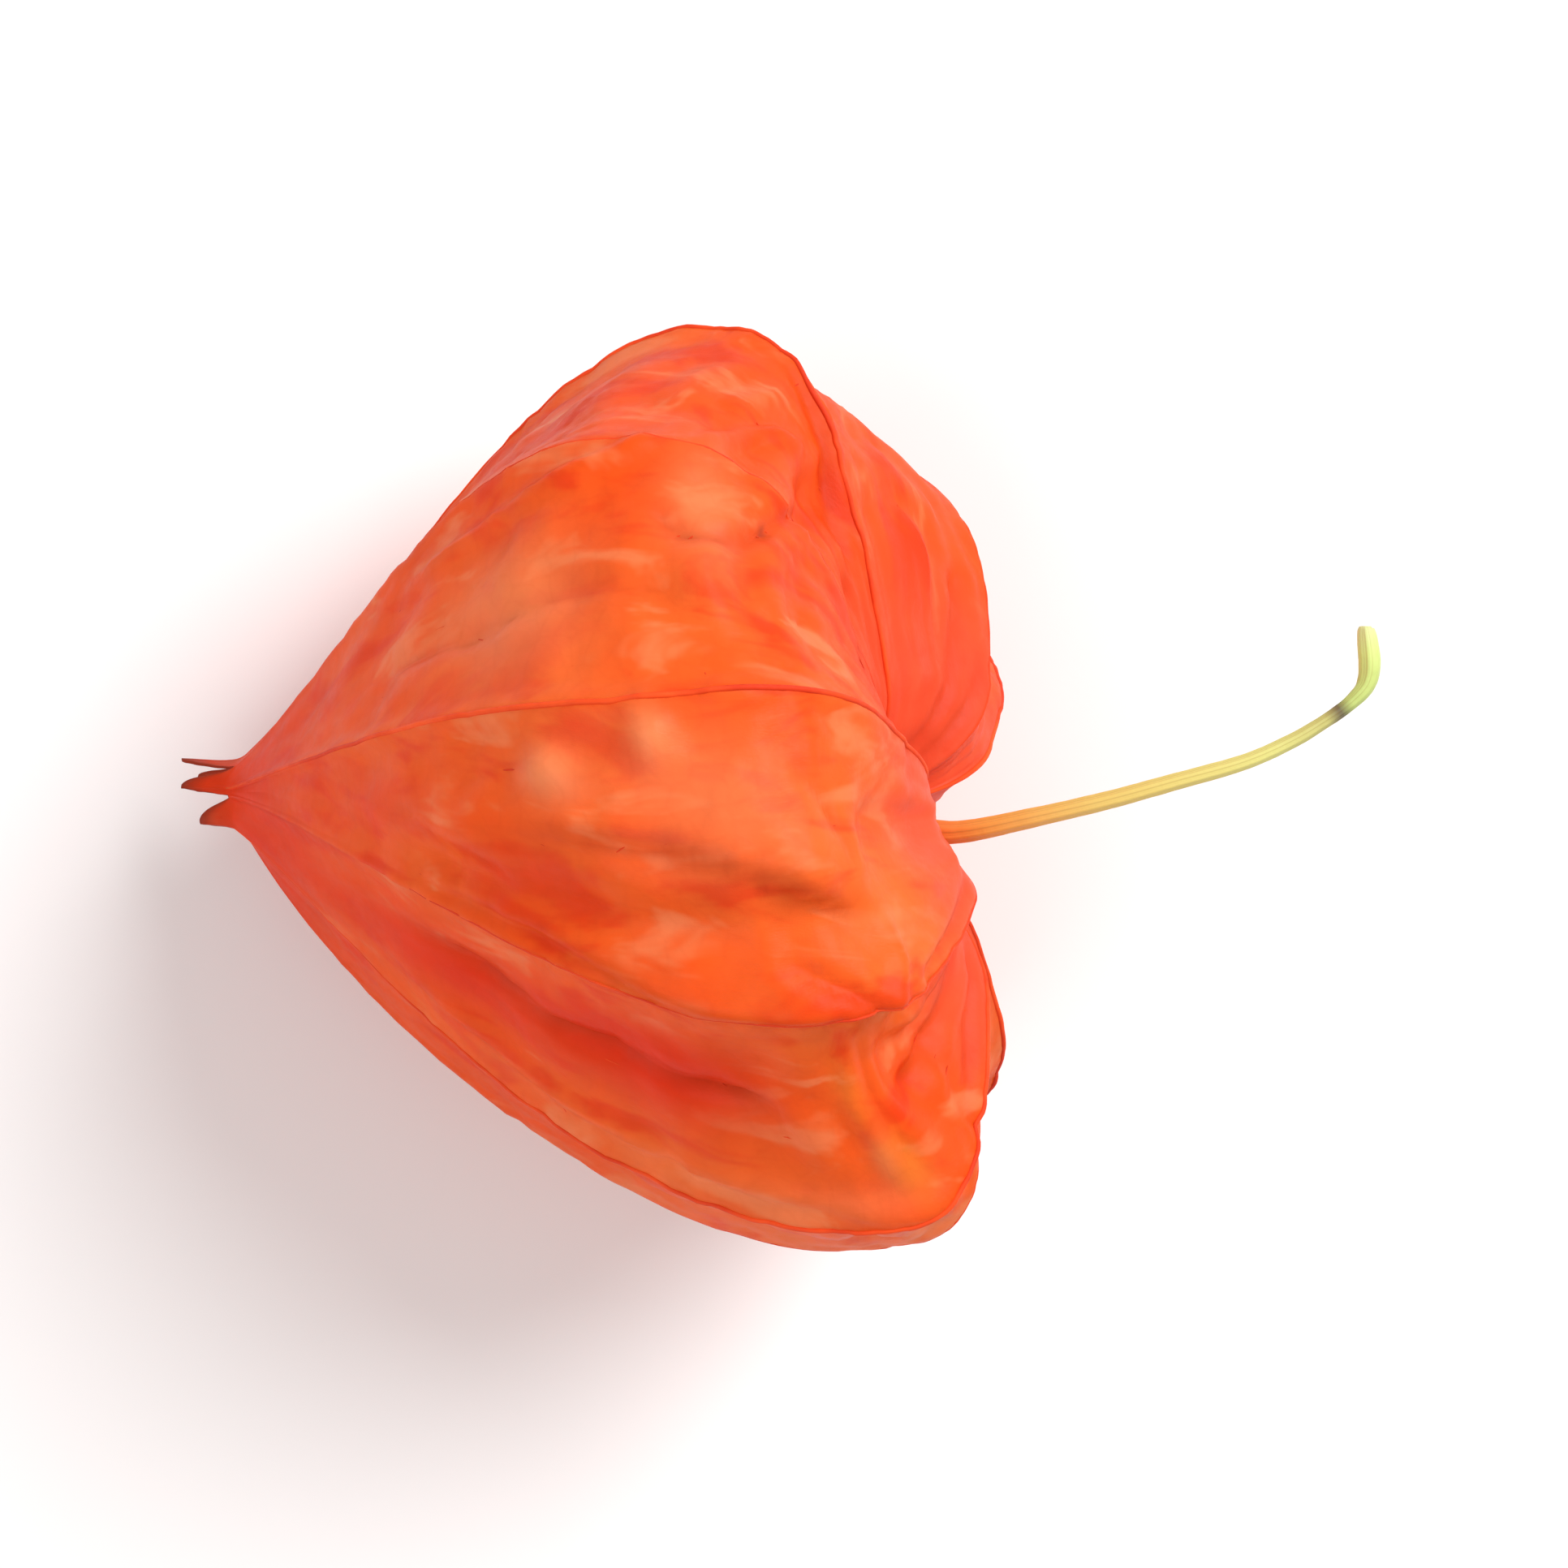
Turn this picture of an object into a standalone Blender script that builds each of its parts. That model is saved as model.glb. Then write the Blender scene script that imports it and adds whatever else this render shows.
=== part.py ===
"""Dried physalis husk: a papery lantern of ten ribs lying on its side, with its stalk.

The husk is one thin shell, lofted round its own axis from the stalk hole, over the rim of the
base and the wide shoulder, down to the neck and its five pointed lobes. The stalk is a tapered
sweep whose head sits inside the hole. Lengths in the tables are millimetres.
"""

import math
from typing import NamedTuple

import bmesh
import bpy
import numpy as np
from mathutils import Vector

MM = 0.001
COLLECTION = "dried_physalis_husk"

# How the husk lies: the lobes low at -X, the base raised at +X
BASE_RAISED = math.radians(25.0)
TURNED = math.radians(-2.5)
NECK_HEIGHT = 8.2
WALL = 0.6

# Shape shared by all ribs
HOLE_RADIUS = 1.25
HOLE_LEVEL = 33.0
NECK_RADIUS = 2.15
LOBE_LENGTH = 3.9
LOBE_END_RADIUS = 1.8
LOBE_NOTCH = 0.12
LOBE_POINT = 2.2
SHOULDER_FULLNESS = 0.79
BASE_LEAN = 0.12
BASE_LEAN_LEVEL = 30.0

# How the curves of a rib leave the hole, run down the cone and pass into a lobe
HOLE_LIP = 1.0
BASE_HANDLE = 0.5
CONE_HANDLE = 0.62
NECK_HANDLE = 11.0
NECK_LIFT = 5.2
SLIM_LIFT = 0.5
LOBE_PULL = 0.5
LOBE_LIFT = 0.6

# Relief of the paper
MAIN_RIDGE = 0.6
SIDE_RIDGE = 0.4
RIDGE_WIDTH = 0.03
FULL_RELIEF_RADIUS = 19.0
QUILT_HEIGHT = 0.4
QUILT_WAVES = 4.5
QUILT_SLANT = 0.55
QUILT_DRIFT = 97.0
FOLD_CREST = 0.5
FOLD_TROUGH = 0.72
FOLD_WIDTH = 0.12
FOLD_RISES = (1.2, 1.6)
FOLD_FADES = (2.2, 2.6)

# Rows from hole to rim, rim to widest, widest to neck, and along the lobes
ROWS = (6, 11, 15, 4)
PLACE_STEP = 0.03
PANEL_COLUMNS = (0.0, 0.055, 0.28, 0.5, 0.72, 0.945)


class Rib(NamedTuple):
    """One rib, and the panel of paper between it and the next rib of the table."""

    angle: float        # degrees round the axis from the top, towards +Y
    main: bool          # a main rib ends in a lobe
    reach: float        # widest radius
    level: float        # height of the widest radius above the neck
    rim_radius: float   # where the base turns down to the hole
    rim_height: float   # height of the rim above the neck
    slim: float         # how far the cone pulls in near the neck
    neck_swing: float   # degrees by which the rib swings towards the neck
    rim_swing: float    # degrees by which it swings towards the rim
    sink: float         # how deep the panel after this rib sinks
    deep_at: float      # below 1 the panel is deepest near this rib
    fold: float         # height of the lengthwise fold in the panel


RIBS = (
    Rib(83.0, True, 26.4, 30.0, 8.5, 38.5, 3.0, 0.0, -6.0, 0.9, 1.0, 0.2),
    Rib(48.0, False, 26.0, 28.5, 8.5, 38.8, 2.8, 0.0, 4.0, 0.8, 1.0, 0.0),
    Rib(12.5, True, 25.0, 29.5, 8.5, 41.5, 2.0, -3.0, 10.0, 0.2, 1.0, 0.8),
    Rib(-25.0, False, 24.6, 32.0, 8.5, 43.5, 1.8, 22.0, -4.0, 3.2, 0.62, 0.0),
    Rib(-65.5, True, 23.5, 34.5, 10.0, 42.5, 4.0, 0.0, -2.0, 1.3, 1.0, 0.3),
    Rib(-100.0, False, 24.2, 31.0, 9.5, 40.4, 0.0, 0.0, 0.0, 1.5, 1.0, 0.0),
    Rib(-136.0, True, 24.4, 28.0, 9.0, 39.8, 0.5, 0.0, 0.0, 1.8, 1.0, 0.3),
    Rib(-172.0, False, 21.4, 26.0, 8.0, 37.4, 0.5, 0.0, 0.0, 1.8, 1.0, 0.0),
    Rib(151.0, True, 24.4, 27.0, 9.0, 41.5, 0.5, 0.0, 0.0, 1.4, 1.0, 0.5),
    Rib(118.0, False, 24.0, 28.5, 9.5, 43.0, 1.5, 0.0, 2.0, 0.6, 1.0, 0.0),
)

# Length of each lobe as a share of LOBE_LENGTH, in the order of the main ribs
LOBES = (1.0, 0.88, 0.72, 0.85, 0.95)


class Dent(NamedTuple):
    """A soft hollow (or, with a negative depth, a blister) of the paper."""

    angle: float
    place: float        # along the rib: 1 is the rim, 2 the widest ring, 3 the neck
    half_angle: float
    half_place: float
    depth: float


DENTS = (
    Dent(58.0, 1.62, 9.0, 0.10, 0.9),
    Dent(33.0, 1.80, 8.0, 0.12, -0.6),
    Dent(68.0, 1.30, 12.0, 0.08, 0.8),
    Dent(-2.0, 1.10, 9.0, 0.28, 2.2),
    Dent(2.0, 2.35, 6.0, 0.10, -0.5),
    Dent(-48.0, 1.28, 7.0, 0.12, 1.2),
    Dent(-86.0, 1.12, 8.0, 0.22, 1.8),
    Dent(-112.0, 1.85, 10.0, 0.16, 1.0),
    Dent(172.0, 1.05, 12.0, 0.30, 1.6),
    Dent(132.0, 1.90, 10.0, 0.18, 0.9),
)

# Stalk: route in millimetres from the neck, with the radius at each point
STALK_HEAD = ((30.9, 1.0), (31.3, 2.1), (32.2, 2.2), (32.6, 1.5), (33.0, 0.85), (35.5, 0.78))
STALK_ROUTE = (
    ((35.6, -1.9, 17.9), 0.70),
    ((37.6, -1.9, 19.0), 0.64),
    ((41.2, -1.1, 20.6), 0.58),
    ((44.9, -0.2, 21.6), 0.54),
    ((48.5, 0.8, 22.1), 0.51),
    ((52.1, 1.8, 22.2), 0.48),
    ((54.9, 3.0, 22.1), 0.45),
    ((57.3, 4.4, 21.8), 0.43),
    ((58.7, 5.5, 21.6), 0.50),
    ((59.2, 6.3, 21.5), 0.62),
    ((59.3, 7.2, 21.5), 0.66),
    ((59.2, 8.3, 21.5), 0.62),
    ((59.1, 9.2, 21.5), 0.46),
)
STALK_STEPS = 3
SHARP_ANGLE = math.radians(50.0)

HUSK_COLOUR = (0.92, 0.17, 0.035, 1.0)
STALK_COLOUR = (0.60, 0.52, 0.16, 1.0)


def clear_scene():
    """Remove every object that a new file starts with."""
    for item in list(bpy.data.objects):
        bpy.data.objects.remove(item, do_unlink=True)


def make_material(name, colour, roughness):
    """A plain Principled material."""
    material = bpy.data.materials.new(name)
    material.use_nodes = True
    shader = material.node_tree.nodes["Principled BSDF"]
    shader.inputs["Base Color"].default_value = colour
    shader.inputs["Roughness"].default_value = roughness
    shader.inputs["Metallic"].default_value = 0.0
    return material


def ease(value, start, end):
    """Smooth step from 0 at start to 1 at end."""
    share = np.clip((value - start) / (end - start), 0.0, 1.0)
    return share * share * (3.0 - 2.0 * share)


def bezier(handles, share):
    """Point of a cubic curve, one coordinate at a time."""
    rest = 1.0 - share
    return (rest ** 3 * handles[0] + 3.0 * rest ** 2 * share * handles[1]
            + 3.0 * rest * share ** 2 * handles[2] + share ** 3 * handles[3])


def rib_section(rib, place):
    """Radius and height of a rib at a place: 0 hole, 1 rim, 2 widest, 3 neck, 4 lobe end."""
    rise = rib.rim_height - HOLE_LEVEL
    corner_radius = rib.rim_radius + SHOULDER_FULLNESS * (rib.reach - rib.rim_radius)
    corner_height = rib.level + SHOULDER_FULLNESS * (rib.rim_height - rib.level)
    radius_handles = (
        (HOLE_RADIUS, HOLE_RADIUS + HOLE_LIP, BASE_HANDLE * rib.rim_radius, rib.rim_radius),
        (rib.rim_radius, corner_radius, rib.reach, rib.reach),
        (rib.reach, rib.reach, NECK_HANDLE - rib.slim, NECK_RADIUS),
        (NECK_RADIUS, NECK_RADIUS - LOBE_PULL, LOBE_END_RADIUS, LOBE_END_RADIUS),
    )
    height_handles = (
        (HOLE_LEVEL, HOLE_LEVEL + BASE_HANDLE * rise, rib.rim_height, rib.rim_height),
        (rib.rim_height, rib.rim_height, corner_height, rib.level),
        (rib.level, CONE_HANDLE * rib.level, NECK_LIFT + SLIM_LIFT * rib.slim, 0.0),
        (0.0, -LOBE_LIFT, -0.5 * LOBE_LENGTH, -LOBE_LENGTH),
    )
    radius = np.zeros_like(place)
    height = np.zeros_like(place)
    for part in range(len(ROWS)):
        inside = np.clip(np.floor(place), 0, len(ROWS) - 1) == part
        radius[inside] = bezier(radius_handles[part], place[inside] - part)
        height[inside] = bezier(height_handles[part], place[inside] - part)
    return radius, height


def rib_angle(rib, place):
    """Angle of a rib, which swings a little on its way to the neck and to the rim."""
    to_neck = np.clip(place - 2.0, 0.0, 1.0)
    to_rim = np.clip(2.0 - place, 0.0, 1.0)
    return rib.angle + rib.neck_swing * to_neck + rib.rim_swing * to_rim


def lobe_share(column, rib, following, lobes):
    """How far a column runs into the lobes: all the way on a main rib, hardly between two."""
    from_tip = column if rib.main else 1.0 - column
    length = lobes[rib] if rib.main else lobes[following]
    narrowing = from_tip ** LOBE_POINT
    return length * (1.0 - narrowing) + LOBE_NOTCH * narrowing


def mean_rib():
    """The rib that the average of all of them makes."""
    return Rib(*np.mean(np.array(RIBS, dtype=float), axis=0))


def wall_direction(place):
    """Radial and axial parts of the outward direction of the mean section."""
    radius_after, level_after = rib_section(mean_rib(), place + PLACE_STEP)
    radius_before, level_before = rib_section(mean_rib(), place - PLACE_STEP)
    radial = level_before - level_after
    axial = radius_after - radius_before
    length = np.hypot(radial, axial)
    return radial / length, axial / length


def column_places(share):
    """Places of a column's rows, its last ones squeezed into its own share of the lobe."""
    places = [np.linspace(part, part + 1, rows + 1)[:-1] for part, rows in enumerate(ROWS[:3])]
    places.append(3.0 + share * np.linspace(0.0, 1.0, ROWS[3] + 1))
    return np.concatenate(places)


def relief(rib, following, column, angle, place, radius):
    """How far the paper stands out of the plain form; it fades where the panels are narrow."""
    ridge = MAIN_RIDGE if rib.main else SIDE_RIDGE
    next_ridge = MAIN_RIDGE if following.main else SIDE_RIDGE
    height = ridge * math.exp(-(column / RIDGE_WIDTH) ** 2)
    height += next_ridge * math.exp(-((1.0 - column) / RIDGE_WIDTH) ** 2)
    height -= rib.sink * math.sin(math.pi * column ** rib.deep_at)
    slant = QUILT_SLANT * abs(2.0 * column - 1.0)
    quilt = np.sin(2.0 * math.pi * (QUILT_WAVES * place + slant + angle / QUILT_DRIFT))
    height = height + QUILT_HEIGHT * quilt * math.sin(math.pi * column)
    crest = math.exp(-((column - FOLD_CREST) / FOLD_WIDTH) ** 2)
    trough = math.exp(-((column - FOLD_TROUGH) / FOLD_WIDTH) ** 2)
    reach = ease(place, *FOLD_RISES) * (1.0 - ease(place, *FOLD_FADES))
    height = height + rib.fold * (crest - trough) * reach
    for dent in DENTS:
        turn = (angle - dent.angle + 180.0) % 360.0 - 180.0
        bowl = np.exp(-(turn / dent.half_angle) ** 2 - ((place - dent.place) / dent.half_place) ** 2)
        height = height - dent.depth * bowl
    return height * np.clip((radius - HOLE_RADIUS) / FULL_RELIEF_RADIUS, 0.0, 1.0)


def husk_axes():
    """Directions of the lying husk: along its axis to the stalk, up, and to the side."""
    turn = np.array([[math.cos(TURNED), -math.sin(TURNED), 0.0],
                     [math.sin(TURNED), math.cos(TURNED), 0.0],
                     [0.0, 0.0, 1.0]])
    along = turn @ np.array([math.cos(BASE_RAISED), 0.0, math.sin(BASE_RAISED)])
    upward = turn @ np.array([-math.sin(BASE_RAISED), 0.0, math.cos(BASE_RAISED)])
    side = turn @ np.array([0.0, 1.0, 0.0])
    return along, upward, side


def husk_column(rib, following, column, lobes):
    """Outer points of one meridian, in millimetres from the neck, and the way out of its wall."""
    along, upward, side = husk_axes()
    place = column_places(lobe_share(column, rib, following, lobes))
    start = rib_angle(rib, place)
    end = rib_angle(following, place)
    end = np.where(end > start, end - 360.0, end)
    angle = start + (end - start) * column
    radius, level = rib_section(rib, place)
    next_radius, next_level = rib_section(following, place)
    radius = radius + (next_radius - radius) * column
    level = level + (next_level - level) * column
    out = np.sin(np.radians(angle))
    up = np.cos(np.radians(angle))
    level = level - BASE_LEAN * radius * out * np.clip(level, 0.0, None) / BASE_LEAN_LEVEL
    from_axis = np.outer(up, upward) + np.outer(out, side)
    radial, axial = wall_direction(place)
    outward = radial[:, None] * from_axis + np.outer(axial, along)
    height = relief(rib, following, column, angle, place, radius)
    points = np.outer(level, along) + radius[:, None] * from_axis + height[:, None] * outward
    return points, outward


def husk_grids():
    """Outer and inner points, a column for each meridian; the lowest ones lie flat.

    The wall is laid along the mean section's directions. Along the paper's own it would cross
    itself in the folds and in the lobes.
    """
    lobes = dict(zip([rib for rib in RIBS if rib.main], LOBES))
    columns = [husk_column(rib, RIBS[(index + 1) % len(RIBS)], column, lobes)
               for index, rib in enumerate(RIBS) for column in PANEL_COLUMNS]
    outer = np.array([points for points, _ in columns])
    outward = np.array([direction for _, direction in columns])
    outer[..., 2] = np.maximum(outer[..., 2] + NECK_HEIGHT, 0.0)
    inner = outer - WALL * outward
    inner[..., 2] = np.maximum(inner[..., 2], WALL)
    return outer, inner


def loft(shape, points, inward):
    """Triangles between the columns of a grid of points; returns the grid's vertices."""
    grid = [[shape.verts.new(Vector(point) * MM) for point in column] for column in points]
    for column, verts in enumerate(grid):
        beside = grid[(column + 1) % len(grid)]
        for row in range(len(verts) - 1):
            quad = (verts[row], verts[row + 1], beside[row + 1], beside[row])
            triangles = (quad[:3], (quad[0], quad[2], quad[3]))
            for triangle in triangles:
                shape.faces.new(reversed(triangle) if inward else triangle)
    return grid


def close_edge(shape, outer, inner, row):
    """Triangles across the thickness of the paper, along one end row of both grids."""
    for column in range(len(outer)):
        beside = (column + 1) % len(outer)
        shape.faces.new((outer[column][row], outer[beside][row], inner[beside][row]))
        shape.faces.new((outer[column][row], inner[beside][row], inner[column][row]))


def add_object(name, mesh, material, collection):
    """Link a mesh under its name, with its material."""
    item = bpy.data.objects.new(name, mesh)
    item.data.materials.append(material)
    collection.objects.link(item)
    return item


def build_husk(collection):
    """The paper shell: both faces lofted round the axis and closed at the hole and the lobes."""
    outer, inner = husk_grids()
    shape = bmesh.new()
    outer_grid = loft(shape, outer, False)
    inner_grid = loft(shape, inner, True)
    close_edge(shape, outer_grid, inner_grid, 0)
    close_edge(shape, outer_grid, inner_grid, -1)
    bmesh.ops.recalc_face_normals(shape, faces=shape.faces[:])
    mesh = bpy.data.meshes.new("husk")
    shape.to_mesh(mesh)
    shape.free()
    mesh.shade_smooth()
    mesh.set_sharp_from_angle(angle=SHARP_ANGLE)
    return add_object("husk", mesh, make_material("husk_paper", HUSK_COLOUR, 0.5), collection)


def stalk_points():
    """Route and radius of the stalk, from the head inside the husk to the cut end."""
    along = husk_axes()[0]
    route = [(along * level, radius) for level, radius in STALK_HEAD]
    route += [(np.array(point), radius) for point, radius in STALK_ROUTE]
    return route


def smooth_route(route):
    """More points along a curve through the given ones, radii included."""
    knots = np.array([[*point, radius] for point, radius in route])
    padded = np.vstack([2.0 * knots[0] - knots[1], knots, 2.0 * knots[-1] - knots[-2]])
    smooth = []
    for index in range(len(knots) - 1):
        before, start, end, after = padded[index:index + 4]
        for step in range(STALK_STEPS):
            share = step / STALK_STEPS
            smooth.append(0.5 * (2.0 * start + (end - before) * share
                                 + (2.0 * before - 5.0 * start + 4.0 * end - after) * share ** 2
                                 + (3.0 * start - before - 3.0 * end + after) * share ** 3))
    smooth.append(knots[-1])
    return np.array(smooth)


def build_stalk(collection):
    """The stalk: one tapered sweep with its head, its knuckle and its club end."""
    curve = bpy.data.curves.new("stem", "CURVE")
    curve.dimensions = "3D"
    curve.bevel_depth = MM
    curve.bevel_resolution = 3
    curve.use_fill_caps = True
    curve.twist_mode = "MINIMUM"
    route = smooth_route(stalk_points())
    spline = curve.splines.new("POLY")
    spline.points.add(len(route) - 1)
    for knot, (x, y, z, radius) in zip(spline.points, route):
        knot.co = (x * MM, y * MM, (z + NECK_HEIGHT) * MM, 1.0)
        knot.radius = radius
    stalk = bpy.data.objects.new("stem", curve)
    curve.materials.append(make_material("stalk_skin", STALK_COLOUR, 0.6))
    collection.objects.link(stalk)
    return stalk


def centre_on_origin(items):
    """Stand the whole part on the origin: its box centred in X and Y, its foot at Z 0."""
    bpy.context.view_layer.update()
    corners = np.array([item.matrix_world @ Vector(corner) for item in items for corner in item.bound_box])
    middle = 0.5 * (corners.min(axis=0) + corners.max(axis=0))
    for item in items:
        item.location = (-middle[0], -middle[1], -corners[:, 2].min())


def main():
    """Build the husk and its stalk in a collection of their own."""
    clear_scene()
    collection = bpy.data.collections.new(COLLECTION)
    bpy.context.scene.collection.children.link(collection)
    centre_on_origin([build_husk(collection), build_stalk(collection)])


main()
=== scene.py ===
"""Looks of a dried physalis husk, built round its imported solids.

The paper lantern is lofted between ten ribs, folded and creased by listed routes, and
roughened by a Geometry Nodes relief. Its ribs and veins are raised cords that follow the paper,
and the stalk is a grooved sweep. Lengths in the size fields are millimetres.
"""

import logging
import math
from dataclasses import dataclass, field
from enum import Enum
from typing import Any, Iterable, Optional, Sequence, Union

import bpy
import numpy as np
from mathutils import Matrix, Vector


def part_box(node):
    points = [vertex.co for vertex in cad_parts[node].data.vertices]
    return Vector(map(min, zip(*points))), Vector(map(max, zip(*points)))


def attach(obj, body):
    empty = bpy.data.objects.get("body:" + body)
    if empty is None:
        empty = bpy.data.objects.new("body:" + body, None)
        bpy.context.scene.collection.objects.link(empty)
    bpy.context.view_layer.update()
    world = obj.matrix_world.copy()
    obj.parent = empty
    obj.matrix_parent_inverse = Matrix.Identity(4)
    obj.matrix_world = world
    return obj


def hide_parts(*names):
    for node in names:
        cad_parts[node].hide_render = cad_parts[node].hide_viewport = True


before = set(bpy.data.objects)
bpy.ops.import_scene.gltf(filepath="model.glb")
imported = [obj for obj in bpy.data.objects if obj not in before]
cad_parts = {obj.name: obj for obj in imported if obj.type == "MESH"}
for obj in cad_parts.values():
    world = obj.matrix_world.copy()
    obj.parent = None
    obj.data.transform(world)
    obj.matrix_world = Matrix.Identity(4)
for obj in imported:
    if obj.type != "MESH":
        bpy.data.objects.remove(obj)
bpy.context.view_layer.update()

LOG = logging.getLogger("physalis_husk")
MM = 0.001
BODY = "root"

Colour = tuple[float, float, float]
Point = tuple[float, float, float]
Socket = bpy.types.NodeSocket
Value = Union[Socket, float, int, Sequence[float]]


class Tint(Enum):
    """Colour zones that are painted on the paper by a soft mask each; the pale peach zone is painted
    highlight and the deep red zone is partly painted shade.
    """

    BLUSH = "blush"
    AMBER = "amber"
    # Deep red: painted shade in the valley between the ribs at -25 and -65 degrees, and deeper red towards
    # the neck and in a few other patches
    EMBER_AND_SHADE = "ember_and_shade"
    RUST = "rust"
    # Painted highlight: pale peach where light catches the paper
    GLOW = "glow"


class CreaseKind(Enum):
    """Ways in which the paper folds along a route."""

    RIDGE = "ridge"
    GROOVE = "groove"
    STEP = "step"


class VeinOrder(Enum):
    """Sizes of the side veins, as the radius of the cord in millimetres."""

    BRANCH = 0.065
    LADDER = 0.038


def ease(value: np.ndarray, start: float, end: float) -> np.ndarray:
    """Smooth step.

    Args:
        value: Numbers to map.
        start: Where the step begins.
        end: Where it ends; it may lie below start.

    Returns:
        Numbers from 0 at start to 1 at end.
    """
    share = np.clip((value - start) / (end - start), 0.0, 1.0)
    return share * share * (3.0 - 2.0 * share)


def bezier(handles: Sequence[np.ndarray], share: np.ndarray) -> np.ndarray:
    """Cubic curve, one coordinate at a time.

    Args:
        handles: The four control values.
        share: Where on the curve, from 0 to 1.

    Returns:
        The curve's value at each share.
    """
    rest = 1.0 - share
    return (rest ** 3 * handles[0] + 3.0 * rest ** 2 * share * handles[1]
            + 3.0 * rest * share ** 2 * handles[2] + share ** 3 * handles[3])


def through_points(knots: np.ndarray, steps: int) -> np.ndarray:
    """Smooth line through the given points.

    Args:
        knots: Points, one row each, with any number of coordinates.
        steps: How many points each span gets.

    Returns:
        The denser points, one row each.
    """
    padded = np.vstack([2.0 * knots[0] - knots[1], knots, 2.0 * knots[-1] - knots[-2]])
    share = (np.arange(steps) / steps)[:, None]
    spans = []
    for before, start, end, after in zip(padded, padded[1:], padded[2:], padded[3:]):
        spans.append(0.5 * (2.0 * start + (end - before) * share
                            + (2.0 * before - 5.0 * start + 4.0 * end - after) * share ** 2
                            + (3.0 * start - before - 3.0 * end + after) * share ** 3))
    spans.append(knots[-1:])
    return np.vstack(spans)


class TreeWriter:
    """Adds nodes and links to a node tree, so that a tree reads as a formula."""

    def __init__(self, tree: bpy.types.NodeTree) -> None:
        """Start on an empty tree."""
        self.tree = tree
        self.tree.nodes.clear()

    def add(self, kind: str, **settings: Any) -> bpy.types.Node:
        """Add a node.

        Args:
            kind: Blender's name of the node type.
            settings: Properties of the node by name.

        Returns:
            The new node.
        """
        node = self.tree.nodes.new(kind)
        for name, value in settings.items():
            setattr(node, name, value)
        node.location = (180.0 * len(self.tree.nodes), 0.0)
        return node

    def set(self, socket: Socket, value: Value) -> None:
        """Link a socket to an input, or give that input a plain value."""
        if isinstance(value, bpy.types.NodeSocket):
            self.tree.links.new(value, socket)
        else:
            socket.default_value = value

    def fill(self, node: bpy.types.Node, **values: Value) -> bpy.types.Node:
        """Set a node's inputs by name.

        Args:
            node: The node.
            values: Input names with underscores for spaces, and their values.

        Returns:
            The same node.
        """
        for name, value in values.items():
            self.set(node.inputs[name.replace("_", " ")], value)
        return node

    def math(self, operation: str, first: Value, second: Value = 0.0, third: Value = 0.0) -> Socket:
        """One Math node.

        Args:
            operation: Blender's name of the operation.
            first: First number or socket.
            second: Second number or socket.
            third: Third number or socket.

        Returns:
            The socket of the result.
        """
        node = self.add("ShaderNodeMath", operation=operation)
        for socket, value in zip(node.inputs, (first, second, third)):
            self.set(socket, value)
        return node.outputs[0]

    def total(self, *terms: Value) -> Socket:
        """Sum of several sockets."""
        result = terms[0]
        for term in terms[1:]:
            result = self.math("ADD", result, term)
        return result

    def product(self, *factors: Value) -> Socket:
        """Product of several sockets."""
        result = factors[0]
        for factor in factors[1:]:
            result = self.math("MULTIPLY", result, factor)
        return result

    def scaled(self, vector: Value, factor: Value) -> Socket:
        """A vector times a number."""
        node = self.add("ShaderNodeVectorMath", operation="SCALE")
        self.set(node.inputs[0], vector)
        self.set(node.inputs["Scale"], factor)
        return node.outputs[0]

    def stretched(self, vector: Value, factors: Point) -> Socket:
        """A vector times another, axis by axis."""
        node = self.add("ShaderNodeVectorMath", operation="MULTIPLY")
        self.set(node.inputs[0], vector)
        self.set(node.inputs[1], factors)
        return node.outputs[0]

    def shifted(self, vector: Value, offset: Value) -> Socket:
        """A vector plus another, or plus a number on every axis."""
        node = self.add("ShaderNodeVectorMath", operation="ADD")
        self.set(node.inputs[0], vector)
        self.set(node.inputs[1], offset)
        return node.outputs[0]

    def noise(self, vector: Value, scale: Value, detail: float = 3.0, roughness: float = 0.5,
              seed: float = 0.0, distortion: float = 0.0) -> Socket:
        """Cloudy noise from 0 to 1.

        Args:
            vector: Where it is read.
            scale: How fine it is.
            detail: Octaves.
            roughness: Weight of the finer octaves.
            seed: Fourth coordinate, which picks another cloud.
            distortion: How much the cloud is swirled.

        Returns:
            The socket of the noise.
        """
        node = self.add("ShaderNodeTexNoise", noise_dimensions="4D")
        self.fill(node, Vector=vector, W=seed, Scale=scale, Detail=detail, Roughness=roughness,
                  Distortion=distortion)
        return node.outputs["Fac"]

    def cells(self, vector: Value, scale: Value, randomness: float = 1.0) -> Socket:
        """Distance to the edges of a net of cells on a plane."""
        node = self.add("ShaderNodeTexVoronoi", feature="DISTANCE_TO_EDGE", voronoi_dimensions="2D")
        self.fill(node, Vector=vector, Scale=scale, Randomness=randomness)
        return node.outputs["Distance"]

    def remap(self, value: Value, low: float, high: float, to_low: float = 0.0,
              to_high: float = 1.0, smooth: bool = True) -> Socket:
        """Map a range of numbers to another and clamp it.

        Args:
            value: The number.
            low: Start of the range.
            high: End of the range.
            to_low: What low becomes.
            to_high: What high becomes.
            smooth: Whether the step is eased.

        Returns:
            The socket of the result.
        """
        node = self.add("ShaderNodeMapRange", interpolation_type="SMOOTHSTEP" if smooth else "LINEAR")
        for socket, number in zip(node.inputs[:5], (value, low, high, to_low, to_high)):
            self.set(socket, number)
        return node.outputs[0]

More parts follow.
